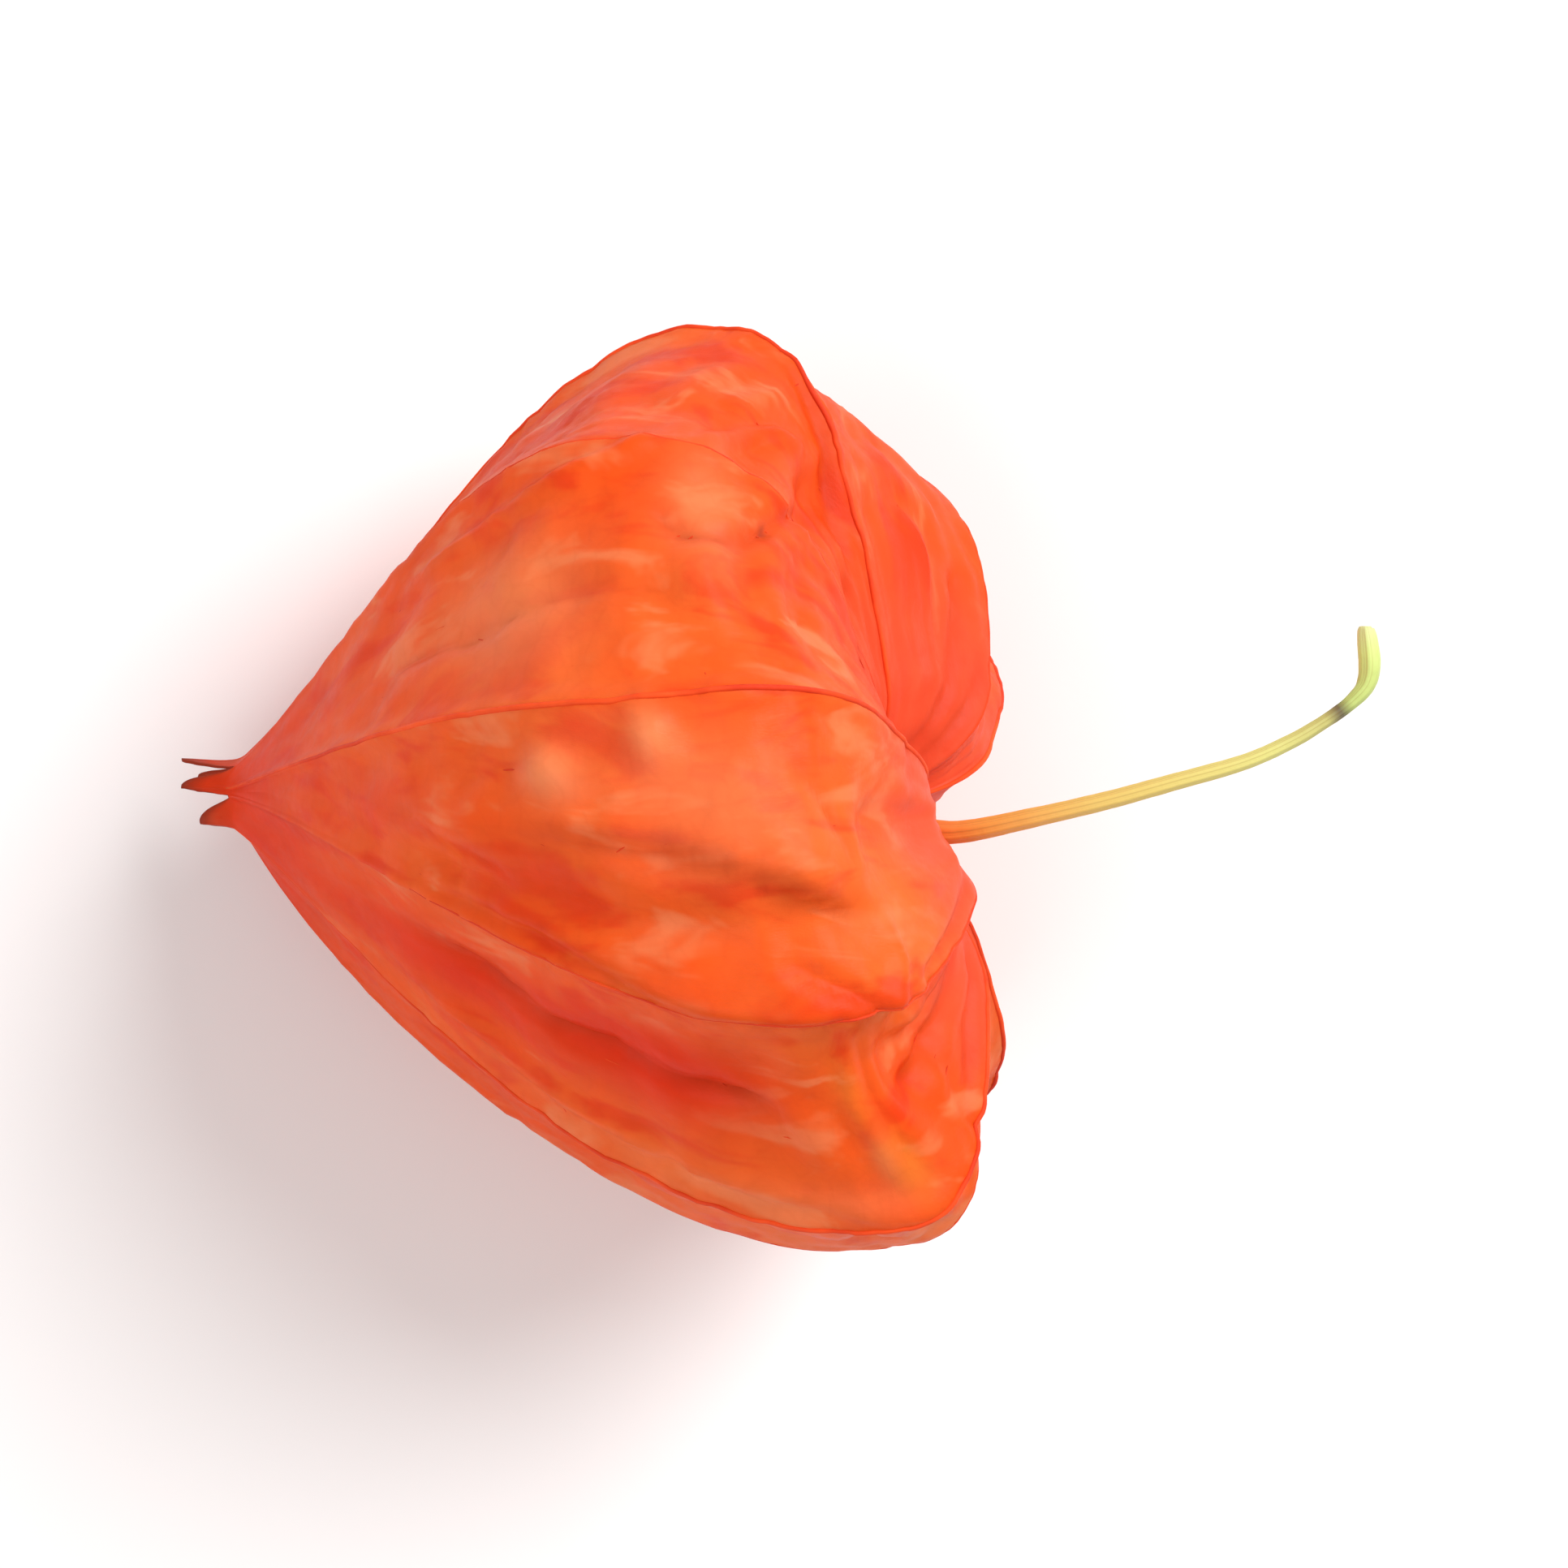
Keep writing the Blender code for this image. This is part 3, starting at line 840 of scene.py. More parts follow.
@dataclass(frozen=True)
class PaperFinish:
    """Dry lantern paper: satin, translucent, orange with deeper and paler zones; the pale peach patches are
    painted highlight and the deep red of the valley is painted shade.
    """

    flame: Colour = (0.95, 0.105, 0.009)
    glow: Colour = (0.98, 0.190, 0.030)
    # Deep red of the mottle and of the deep red zones; in the valley it is painted shade
    ember_and_shade: Colour = (0.86, 0.038, 0.004)
    blush: Colour = (0.95, 0.105, 0.042)
    amber: Colour = (0.90, 0.27, 0.030)
    rust: Colour = (0.30, 0.040, 0.015)
    moss: Colour = (0.30, 0.20, 0.03)
    # Dark red of the faint vein net, and of the painted shade along the creases
    vein_and_crease_shade: Colour = (0.60, 0.040, 0.008)
    # Pale peach of the mottle, and the colour of the painted highlight
    peach_and_highlight: Colour = (0.98, 0.30, 0.110)
    light_through: Colour = (0.98, 0.10, 0.010)
    light_share: float = 0.32
    roughness: float = 0.38
    refraction: float = 1.28
    shine: float = 0.35

    def colour(self, tree: ShaderWriter) -> Socket:
        """The colour of the paper from its masks and clouds.

        Args:
            tree: The material being written.

        Returns:
            The socket of the colour.
        """
        place = tree.place()
        broad = tree.noise(place, 55.0, 4.0, 0.55, 1.0)
        fine = tree.noise(place, 420.0, 5.0, 0.6, 2.0)
        strokes = tree.noise(tree.stretched(tree.unrolled(), (30.0, 13.0, 1.0)), 1.0, 3.0, 0.55, 13.0, 0.8)
        colour = tree.mix(tree.remap(broad, 0.38, 0.70), self.flame, self.glow)
        colour = tree.mix(tree.remap(strokes, 0.50, 0.34, 0.0, 0.65), colour, self.ember_and_shade)
        colour = tree.mix(tree.remap(strokes, 0.54, 0.68, 0.0, 0.65), colour, self.peach_and_highlight)
        # Painted highlight: pale peach on the highlight patches
        colour = tree.mix(tree.mask(Tint.GLOW.value), colour, self.peach_and_highlight)
        # Deep red zones: painted shade in the valley, deeper red towards the neck and in a few patches
        cloud = tree.math("SUBTRACT", broad, 0.5)
        ragged = tree.math("MULTIPLY_ADD", cloud, 0.9, tree.mask(Tint.EMBER_AND_SHADE.value))
        colour = tree.mix(tree.remap(ragged, 0.05, 1.0), colour, self.ember_and_shade)
        colour = tree.mix(tree.mask(Tint.BLUSH.value), colour, self.blush)
        golden = tree.math("MULTIPLY_ADD", cloud, 1.2, tree.mask(Tint.AMBER.value))
        colour = tree.mix(tree.remap(golden, 0.10, 0.85), colour, self.amber)
        freckle = tree.remap(tree.noise(place, 900.0, 2.0, 0.5, 3.0), 0.58, 0.72)
        spots = tree.product(tree.mask(Tint.AMBER.value), freckle)
        colour = tree.mix(tree.math("MULTIPLY", spots, 0.18), colour, self.moss)
        colour = tree.mix(tree.mask(Tint.RUST.value), colour, self.rust)
        # Painted shade darkening the paper along the creases
        colour = tree.mix(tree.math("MULTIPLY", tree.mask("crease_shade"), 0.45), colour, self.vein_and_crease_shade)
        shade = tree.remap(fine, 0.25, 0.75, 0.93, 1.05, smooth=False)
        grey = tree.fill(tree.add("ShaderNodeCombineColor"), Red=shade, Green=shade, Blue=shade).outputs[0]
        return tree.mix(1.0, colour, grey, "MULTIPLY")

    def material(self) -> bpy.types.Material:
        """Build the material."""
        tree = ShaderWriter("lantern_paper")
        colour = self.colour(tree)
        place, unrolled = tree.place(), tree.unrolled()
        drift = tree.math("MULTIPLY", tree.noise(unrolled, 26.0, 2.0, 0.5, 12.0), 0.03)
        net = tree.remap(tree.cells(tree.shifted(unrolled, drift), 70.0), 0.0, 0.16, 1.0, 0.0)
        fibre = tree.noise(tree.stretched(unrolled, (900.0, 260.0, 1.0)), 1.0, 3.0, 0.6, 4.0)
        grain = tree.noise(place, 1500.0, 4.0, 0.65, 5.0)
        colour = tree.mix(tree.math("MULTIPLY", net, 0.05), colour, self.vein_and_crease_shade)
        normal = tree.bump(grain, 0.00006, 0.4)
        normal = tree.bump(fibre, 0.00004, 0.35, normal)
        rough = tree.remap(grain, 0.3, 0.7, self.roughness - 0.05, self.roughness + 0.10, smooth=False)
        paper = tree.fill(tree.add("ShaderNodeBsdfPrincipled"), Base_Color=colour, Roughness=rough,
                          Normal=normal, IOR=self.refraction, Specular_IOR_Level=self.shine)
        glow = tree.fill(tree.add("ShaderNodeBsdfTranslucent"), Normal=normal)
        tree.set(glow.inputs["Color"], tree.mix(0.5, colour, self.light_through))
        both = tree.add("ShaderNodeMixShader")
        tree.set(both.inputs[0], self.light_share)
        tree.set(both.inputs[1], paper.outputs[0])
        tree.set(both.inputs[2], glow.outputs[0])
        return tree.surface(both.outputs[0])


@dataclass(frozen=True)
class CordFinish:
    """Dry skin of the ribs, veins and fold edges, darker than the paper: partly their own deeper colour,
    partly painted shade along the raised lines.
    """

    # Darker than the paper, partly as painted shade along the ribs and fold lines
    body: Colour = (0.66, 0.036, 0.005)
    pale: Colour = (0.88, 0.085, 0.010)
    tip: Colour = (0.40, 0.055, 0.014)
    roughness: float = 0.60
    shine: float = 0.20

    def material(self) -> bpy.types.Material:
        """Build the material."""
        tree = ShaderWriter("rib_skin")
        place = tree.place()
        cloud = tree.noise(place, 140.0, 4.0, 0.6, 6.0)
        colour = tree.mix(tree.remap(cloud, 0.38, 0.68), self.body, self.pale)
        colour = tree.mix(tree.mask("dry"), colour, self.tip)
        grain = tree.noise(place, 1800.0, 3.0, 0.6, 7.0)
        normal = tree.bump(grain, 0.00006, 0.6)
        skin = tree.fill(tree.add("ShaderNodeBsdfPrincipled"), Base_Color=colour, Normal=normal,
                         Specular_IOR_Level=self.shine)
        tree.set(skin.inputs["Roughness"], tree.remap(grain, 0.3, 0.7, self.roughness, self.roughness + 0.12))
        return tree.surface(skin.outputs[0])


@dataclass(frozen=True)
class StalkFinish:
    """Dry stalk skin, orange at the root, then olive yellow, then green past the knuckle."""

    stops: tuple[tuple[float, Colour], ...] = (
        (0.0, (0.85, 0.08, 0.014)),
        (0.21, (0.88, 0.12, 0.020)),
        (0.33, (0.82, 0.36, 0.060)),
        (0.48, (0.70, 0.50, 0.12)),
        (0.74, (0.62, 0.58, 0.17)),
        (0.835, (0.46, 0.42, 0.12)),
        (0.862, (0.10, 0.07, 0.03)),
        (0.885, (0.42, 0.50, 0.13)),
        (0.96, (0.60, 0.70, 0.20)),
        (1.0, (0.64, 0.66, 0.28)),
    )
    groove: Colour = (0.30, 0.14, 0.03)
    roughness: float = 0.5

    def material(self) -> bpy.types.Material:
        """Build the material."""
        tree = ShaderWriter("stalk_skin")
        place = tree.place()
        drift = tree.math("MULTIPLY_ADD", tree.math("SUBTRACT", tree.noise(place, 160.0, 3.0, 0.5, 8.0), 0.5),
                          0.05, tree.mask("along"))
        colour = tree.ramp(drift, self.stops)
        rings = tree.stretched(tree.vector("ring"), (3.2, 3.2, 9.0))
        stripe = tree.noise(rings, 1.0, 3.0, 0.6, 9.0)
        colour = tree.mix(tree.remap(stripe, 0.52, 0.70, 0.0, 0.42), colour, self.groove)
        grain = tree.noise(place, 2600.0, 3.0, 0.6, 10.0)
        normal = tree.bump(grain, 0.00004, 0.6)
        normal = tree.bump(stripe, 0.00010, 0.6, normal)
        skin = tree.fill(tree.add("ShaderNodeBsdfPrincipled"), Base_Color=colour, Normal=normal)
        tree.set(skin.inputs["Roughness"], tree.remap(grain, 0.3, 0.7, self.roughness, self.roughness + 0.14))
        return tree.surface(skin.outputs[0])


@dataclass(frozen=True)
class FloorFinish:
    """Plain pale board."""

    pale: Colour = (0.90, 0.885, 0.88)
    shade: Colour = (0.87, 0.855, 0.85)

    def material(self) -> bpy.types.Material:
        """Build the material."""
        tree = ShaderWriter("pale_board")
        cloud = tree.noise(tree.place(), 9.0, 2.0, 0.5, 11.0)
        board = tree.fill(tree.add("ShaderNodeBsdfPrincipled"), Roughness=0.7)
        tree.set(board.inputs["Base Color"], tree.mix(cloud, self.pale, self.shade))
        return tree.surface(board.outputs[0])


@dataclass
class Paper:
    """The paper of the husk: a thin wall lofted round the axis between the ribs."""

    form: LanternForm
    neck: np.ndarray
    columns_a_panel: int = 34
    rows: tuple[int, int, int, int] = (26, 46, 56, 9)
    rib_crowding: float = 0.45
    wall: float = 0.13
    main_ridge: float = 0.50
    side_ridge: float = 0.22
    ridge_width: float = 0.060
    quilt_height: float = 0.20
    quilt_waves: float = 4.5
    quilt_slant: float = 0.55
    quilt_drift: float = 97.0
    fold_crest: float = 0.5
    fold_trough: float = 0.72
    fold_width: float = 0.12
    fold_rises: tuple[float, float] = (1.2, 1.6)
    fold_fades: tuple[float, float] = (2.6, 2.2)
    crease_taper: float = 0.18
    wrinkle_turn: float = 48.0
    puff_height: float = 0.42
    puff_size: float = 8.0
    crinkle_height: float = 0.80
    crinkle_size: float = 5.0
    inset: float = 0.20
    gather_height: float = 0.16
    gathers: float = 5.0
    scorched_rows: tuple[float, ...] = (0.2, 0.5, 0.7)
    seed: int = 21
    creases: tuple[Crease, ...] = CREASES
    patches: tuple[Patch, ...] = PATCHES
    sheet: Optional[Sheet] = field(default=None, init=False)
    skin: Optional[np.ndarray] = field(default=None, init=False)
    normals: Optional[np.ndarray] = field(default=None, init=False)

    def across_steps(self) -> np.ndarray:
        """Shares across a panel, closer together near both ribs."""
        even = np.arange(self.columns_a_panel) / self.columns_a_panel
        return even - self.rib_crowding * np.sin(2.0 * math.pi * even) / (2.0 * math.pi)

    def column_places(self, share: float) -> np.ndarray:
        """Places of a column's rows, its last ones squeezed into its share of the lobe."""
        places = [np.linspace(part, part + 1, rows + 1)[:-1] for part, rows in enumerate(self.rows[:3])]
        places.append(3.0 + share * np.linspace(0.0, 1.0, self.rows[3] + 1))
        return np.concatenate(places)

    def plain_sheet(self) -> Sheet:
        """The plain form at the resolution of the paper."""
        steps = self.across_steps()
        panel = np.repeat(np.arange(len(self.form.ribs)), len(steps))
        across = np.tile(steps, len(self.form.ribs))
        place = np.array([self.column_places(self.form.lobe_share(int(p), float(a)))
                          for p, a in zip(panel, across)])
        wide = np.ones(place.shape[1], dtype=int)
        return self.form.sheet(np.outer(panel, wide), np.outer(across, np.ones(len(wide))), place)

    def fade(self) -> np.ndarray:
        """Share of the relief, which dies out where the panels are narrow."""
        reach = self.form.full_relief_radius
        return np.clip((self.sheet.radius - self.form.hole_radius) / reach, 0.0, 1.0)

    def panel_relief(self) -> np.ndarray:
        """Tented ribs, sunken panels, quilting and lengthwise folds, in millimetres."""
        sheet, form = self.sheet, self.form
        ridge = np.where(form.value("main", sheet.panel) > 0.5, self.main_ridge, self.side_ridge)
        next_ridge = np.where(form.value("main", sheet.panel + 1) > 0.5, self.main_ridge, self.side_ridge)
        height = ridge * np.exp(-(sheet.across / self.ridge_width) ** 2)
        height += next_ridge * np.exp(-((1.0 - sheet.across) / self.ridge_width) ** 2)
        deep_at = form.value("deep_at", sheet.panel)
        height -= form.value("sink", sheet.panel) * np.sin(math.pi * sheet.across ** deep_at)
        slant = self.quilt_slant * np.abs(2.0 * sheet.across - 1.0)
        wave = self.quilt_waves * sheet.place + slant + sheet.angle / self.quilt_drift
        height += self.quilt_height * np.sin(2.0 * math.pi * wave) * np.sin(math.pi * sheet.across)
        crest = np.exp(-((sheet.across - self.fold_crest) / self.fold_width) ** 2)
        trough = np.exp(-((sheet.across - self.fold_trough) / self.fold_width) ** 2)
        reach = ease(sheet.place, *self.fold_rises) * ease(sheet.place, *self.fold_fades)
        return height + form.value("fold", sheet.panel) * (crest - trough) * reach

    def bowl(self, spot: Union[Dent, Patch]) -> np.ndarray:
        """Soft round mask of a dent or a patch."""
        turn = (self.sheet.angle - spot.angle + 180.0) % 360.0 - 180.0
        shift = self.sheet.place - spot.place
        return np.exp(-(turn / spot.half_angle) ** 2 - (shift / spot.half_place) ** 2)

    def crease_field(self, crease: Crease) -> tuple[np.ndarray, np.ndarray]:
        """Height and painted crease shade of one crease.

        Args:
            crease: The crease.

        Returns:
            Its height in millimetres and its ink from 0 to 1, by column and row.
        """
        line = self.form.line(crease.route)
        height, crease_shade = np.zeros(self.sheet.place.shape), np.zeros(self.sheet.place.shape)
        reach = crease.width * (8.0 if crease.kind is CreaseKind.STEP else 3.0)
        near = np.all((self.sheet.points > line.min(axis=0) - reach)
                      & (self.sheet.points < line.max(axis=0) + reach), axis=-1)
        points, outward = self.sheet.points[near], self.sheet.outward[near]
        step = line[1:] - line[:-1]
        offset = points[:, None, :] - line[None, :-1]
        share = np.einsum("nms,ms->nm", offset, step) / np.maximum(np.einsum("ms,ms->m", step, step), 1e-9)
        gap = offset - np.clip(share, 0.0, 1.0)[..., None] * step
        distance = np.linalg.norm(gap, axis=2)
        best = distance.argmin(axis=1)
        index = np.arange(len(best))
        nearest = distance[index, best]
        along = (best + np.clip(share[index, best], 0.0, 1.0)) / len(step)
        taper = ease(along, 0.0, self.crease_taper) * ease(along, 1.0, 1.0 - self.crease_taper)
        if crease.kind is CreaseKind.STEP:
            side = np.einsum("ns,ns->n", np.cross(step[best], gap[index, best]), outward)
            signed = np.sign(side) * nearest
            profile = np.tanh(signed / (0.5 * crease.width)) * np.exp(-nearest / (2.5 * crease.width))
        else:
            profile = np.exp(-(nearest / crease.width) ** 2)
            profile *= -1.0 if crease.kind is CreaseKind.GROOVE else 1.0
        height[near] = crease.height * profile * taper
        # Painted shade along the crease, darkest on its line
        crease_shade[near] = crease.crease_shade * np.exp(-(nearest / crease.width) ** 2) * taper
        return height, crease_shade

    def wrinkles(self, count: int = 100) -> list[Crease]:
        """Short creases scattered over the paper."""
        dice = np.random.default_rng(self.seed)
        found = []
        for _ in range(count):
            angle, place = dice.uniform(-180.0, 180.0), dice.uniform(0.9, 2.8)
            heading = dice.normal(0.0, 0.55) + (math.pi / 2 if dice.random() < 0.65 else 0.0)
            length, bend = dice.uniform(0.06, 0.22), dice.normal(0.0, 0.5)
            route = []
            for step in (-1.0, -0.33, 0.33, 1.0):
                turn = heading + bend * step
                sideways = self.wrinkle_turn * length * step * math.cos(turn)
                route.append((angle + sideways, place + length * step * math.sin(turn)))
            kind = CreaseKind.RIDGE if dice.random() < 0.45 else CreaseKind.GROOVE
            found.append(Crease(tuple(route), kind, dice.uniform(0.05, 0.16), dice.uniform(0.35, 0.7)))
        return found

    def tints(self, crease_shade: np.ndarray) -> dict[str, np.ndarray]:
        """Masks of the colour zones, by name."""
        sheet = self.sheet
        masks = {tint.value: np.zeros(sheet.place.shape) for tint in Tint}
        masks[Tint.BLUSH.value] += 0.85 * ease(sheet.place, 1.28, 0.98)
        masks[Tint.EMBER_AND_SHADE.value] += 0.75 * ease(sheet.place, 2.45, 2.95)
        masks[Tint.RUST.value] += 0.25 * ease(sheet.place, 3.0, 3.4)
        masks[Tint.RUST.value][:, -len(self.scorched_rows):] += self.scorched_rows
        for patch in self.patches:
            masks[patch.tint.value] += patch.strength * self.bowl(patch)
        # Painted shade along the creases
        masks["crease_shade"] = crease_shade
        return {name: np.clip(mask, 0.0, 1.0) for name, mask in masks.items()}

    def quads(self) -> np.ndarray:
        """Corner indices of the faces of the wrapped grid."""
        columns, rows = self.sheet.place.shape
        index = np.arange(columns * rows).reshape(columns, rows)
        beside = np.roll(index, -1, axis=0)
        corners = (index[:, :-1], beside[:, :-1], beside[:, 1:], index[:, 1:])
        return np.stack(corners, axis=-1).reshape(-1, 4)

    def unroll(self, mesh: bpy.types.Mesh) -> None:
        """UV map with an island for each panel, a unit for every 100 millimetres."""
        sheet = self.sheet
        steps = np.linalg.norm(np.diff(sheet.points, axis=1), axis=2).mean(axis=0)
        along = np.concatenate([[0.0], np.cumsum(steps)])
        gaps = np.linalg.norm(np.roll(sheet.points, -1, axis=0) - sheet.points, axis=2)
        width = gaps.reshape(len(self.form.ribs), self.columns_a_panel, -1).sum(axis=1)
        panel = sheet.panel[:, 0]
        here = sheet.across[:, 0]
        beside = np.where(np.arange(1, len(here) + 1) % self.columns_a_panel == 0, 1.0, np.roll(here, -1))
        wide = width[panel]
        left = (here[:, None] - 0.5) * wide + 40.0 * panel[:, None]
        right = (beside[:, None] - 0.5) * wide + 40.0 * panel[:, None]
        across = np.stack([left[:, :-1], right[:, :-1], right[:, 1:], left[:, 1:]], axis=-1)
        down = np.broadcast_to(along, sheet.place.shape)
        level = np.stack([down[:, :-1], down[:, :-1], down[:, 1:], down[:, 1:]], axis=-1)
        layer = mesh.uv_layers.new(name="unrolled")
        layer.data.foreach_set("uv", (np.stack([across, level], axis=-1) * 0.01).astype(np.float32).ravel())

    def relief_tree(self) -> GeometryWriter:
        """Geometry Nodes: puffs, crinkles and gathered wrinkles along the way out of the paper."""
        tree = GeometryWriter("paper_relief")
        seed = tree.size("Seed", self.seed)
        fade, across = tree.read("fade"), tree.read("across")
        where = tree.add("GeometryNodeInputPosition").outputs[0]
        between = tree.math("SINE", tree.math("MULTIPLY", across, math.pi))
        cloud = tree.noise(where, tree.size("Puff scale", 1.0 / (self.puff_size * MM)), 1.5, 0.45, seed)
        puff_height = tree.size("Puff height", 2.0 * self.puff_height * MM)
        puffs = tree.product(tree.math("SUBTRACT", cloud, 0.5), puff_height,
                             tree.math("MULTIPLY_ADD", between, 0.8, 0.2))
        fine = tree.noise(where, tree.size("Crinkle scale", 1.0 / (self.crinkle_size * MM)), 3.0, 0.6,
                          tree.math("ADD", seed, 5.0), 0.6)
        folded = tree.math("ABSOLUTE", tree.math("SUBTRACT", fine, 0.5))
        crinkles = tree.product(folded, tree.size("Crinkle height", -2.0 * self.crinkle_height * MM))
        turns = tree.product(across, tree.size("Gathers", self.gathers), 2.0 * math.pi)
        wave = tree.math("SINE", tree.math("MULTIPLY_ADD", cloud, 9.0, turns))
        gather = tree.product(wave, tree.size("Gather height", self.gather_height * MM), tree.read("gather"))
        height = tree.product(tree.total(puffs, crinkles, gather), fade)
        tree.then("GeometryNodeSetPosition", Offset=tree.scaled(tree.read("outward", "FLOAT_VECTOR"), height))
        tree.rest(0.0)
        tree.then("GeometryNodeSetShadeSmooth")
        return tree

    def build(self, finish: PaperFinish) -> bpy.types.Object:
        """Build the paper.

        Args:
            finish: Its finish.

        Returns:
            The piece, a thin closed wall.
        """
        self.sheet = self.plain_sheet()
        height = self.panel_relief()
        for dent in (*DENTS, *BLISTERS):
            height -= dent.depth * self.bowl(dent)
        # Painted shade along the creases, the darkest of them where two meet
        crease_shade = np.zeros(height.shape)
        for crease in (*self.creases, *self.wrinkles()):
            rise, line = self.crease_field(crease)
            height += rise
            crease_shade = np.maximum(crease_shade, line)
        fade = self.fade()
        relief = ((height - self.inset) * fade)[..., None] * self.sheet.outward
        points = self.neck + self.sheet.points + relief
        points[..., 2] = np.maximum(points[..., 2], 0.0)
        mesh = bpy.data.meshes.new("husk_paper")
        mesh.from_pydata((points.reshape(-1, 3) * MM).tolist(), [], self.quads().tolist())
        self.unroll(mesh)
        keep_vectors(mesh, "outward", self.sheet.outward)
        gather = ease(self.sheet.place, 0.35, 0.8) * ease(self.sheet.place, 1.5, 1.1)
        numbers = {"fade": fade, "across": self.sheet.across, "gather": gather, **self.tints(crease_shade)}
        for name, values in numbers.items():
            keep_numbers(mesh, name, values)
        item = self.relief_tree().apply(link("husk_paper", mesh), finish.material())
        self.remember(item.data)
        wall = item.modifiers.new("wall", "SOLIDIFY")
        wall.thickness = self.wall * MM
        wall.offset = -1.0
        wall.use_rim = True
        return self.lift(freeze(item))

    @staticmethod
    def lift(item: bpy.types.Object) -> bpy.types.Object:
        """Raise what the wall's thickness pushed below the floor back up to it."""
        places = np.zeros(3 * len(item.data.vertices), np.float32)
        item.data.vertices.foreach_get("co", places)
        places[2::3] = np.maximum(places[2::3], 0.0)
        item.data.vertices.foreach_set("co", places)
        item.data.update()
        return item

    def remember(self, mesh: bpy.types.Mesh) -> None:
        """Keep the finished outer points and normals, which the cords follow."""
        shape = (*self.sheet.place.shape, 3)
        points, normals = np.zeros(shape, np.float32), np.zeros(shape, np.float32)
        mesh.vertices.foreach_get("co", points.reshape(-1))
        mesh.vertex_normals.foreach_get("vector", normals.reshape(-1))
        self.skin, self.normals = points.astype(float), normals.astype(float)

    def follow(self, column: np.ndarray, row: np.ndarray) -> tuple[np.ndarray, np.ndarray]:
        """Points and normals of the finished paper between its columns and rows.

        Args:
            column: Columns, whole or in between; they wrap round the husk.
            row: Rows, whole or in between.

        Returns:
            Points in metres and unit normals.
        """
        columns, rows = self.skin.shape[:2]
        row = np.clip(row, 0.0, rows - 1.001)
        low, left = np.floor(row).astype(int), np.floor(column).astype(int)
        down, over = (row - low)[:, None], (column - left)[:, None]
        found = []
        for grid in (self.skin, self.normals):
            near = grid[left % columns, low] * (1 - down) + grid[left % columns, low + 1] * down
            far = grid[(left + 1) % columns, low] * (1 - down) + grid[(left + 1) % columns, low + 1] * down
            found.append(near * (1 - over) + far * over)
        points, normals = found
        return points, normals / np.linalg.norm(normals, axis=1, keepdims=True)

    def row_of(self, place: np.ndarray) -> np.ndarray:
        """Row, whole or in between, of a place up to the neck."""
        marks = np.concatenate([[0.0], np.cumsum(self.rows[:3])])
        return np.interp(place, np.arange(4.0), marks)

    def column_of(self, panel: np.ndarray, across: np.ndarray) -> np.ndarray:
        """Column, whole or in between, of a share across a panel; shares may pass 0 and 1."""
        steps = np.append(self.across_steps(), 1.0)
        whole = np.floor(across)
        inside = np.interp(across - whole, steps, np.arange(len(steps)))
        return (panel + whole) * self.columns_a_panel + inside


def sweep_tree(name: str, sides: int, lowest: float = 0.03) -> GeometryWriter:
    """Geometry Nodes: a round cord along each polyline, as thick as its points say.

    Args:
        name: Name of the tree.
        sides: Sides of the cord.
        lowest: Least height of the cord in millimetres, just inside the paper that rests.

    Returns:
        The tree, ready to be applied.
    """
    tree = GeometryWriter(name)
    count = tree.size("Sides", sides)
    tree.then("GeometryNodeMeshToCurve")
    circle = tree.fill(tree.add("GeometryNodeCurvePrimitiveCircle"), Resolution=count, Radius=1.0)
    radius = tree.read("cord_radius")
    tree.then("GeometryNodeCurveToMesh", Profile_Curve=circle.outputs[0], Scale=radius, Fill_Caps=True)
    tree.rest(lowest)
    tree.then("GeometryNodeSetShadeSmooth")
    return tree


@dataclass
class RibCords:
    """The ten ribs as raised cords from the stalk hole to the lobes."""

    paper: Paper
    main_radius: float = 0.16
    side_radius: float = 0.09
    sunk: float = 0.65
    sides: int = 10
    start_place: float = 0.12
    short_of_tip: float = 0.8

    def build(self, finish: CordFinish) -> bpy.types.Object:
        """Build the ribs.

        Args:
            finish: Their finish.

        Returns:
            The piece with all ribs.
        """
        paper = self.paper
        first_row = paper.row_of(np.array([self.start_place]))[0]
        rows = np.arange(first_row, sum(paper.rows) - self.short_of_tip, 0.5)
        neck_row = sum(paper.rows[:3])
        place = np.interp(rows, paper.row_of(np.arange(4.0)), np.arange(4.0), right=4.0)
        place = np.where(rows > neck_row, 3.0 + (rows - neck_row) / paper.rows[3], place)
        routes, radii, dry = [], [], []
        for index, rib in enumerate(paper.form.ribs):
            column = np.full(len(rows), index * paper.columns_a_panel, dtype=float)
            points, normals = paper.follow(column, rows)
            thick = self.main_radius if rib.main else self.side_radius
            radius = thick * (0.35 + 0.65 * ease(place, 0.1, 0.9)) * (1.0 - 0.45 * ease(place, 2.0, 3.0))
            radius = radius * (1.0 - 0.75 * ease(place, 3.0, 4.0))
            routes.append(points - normals * (self.sunk * radius * MM)[:, None])
            radii.append(radius * MM)
            dry.append(ease(place, 2.9, 3.5))
        mesh = cords_mesh("husk_ribs", routes, radii, {"dry": dry})
        return sweep_tree("rib_sweep", self.sides).apply(link("husk_ribs", mesh), finish.material())


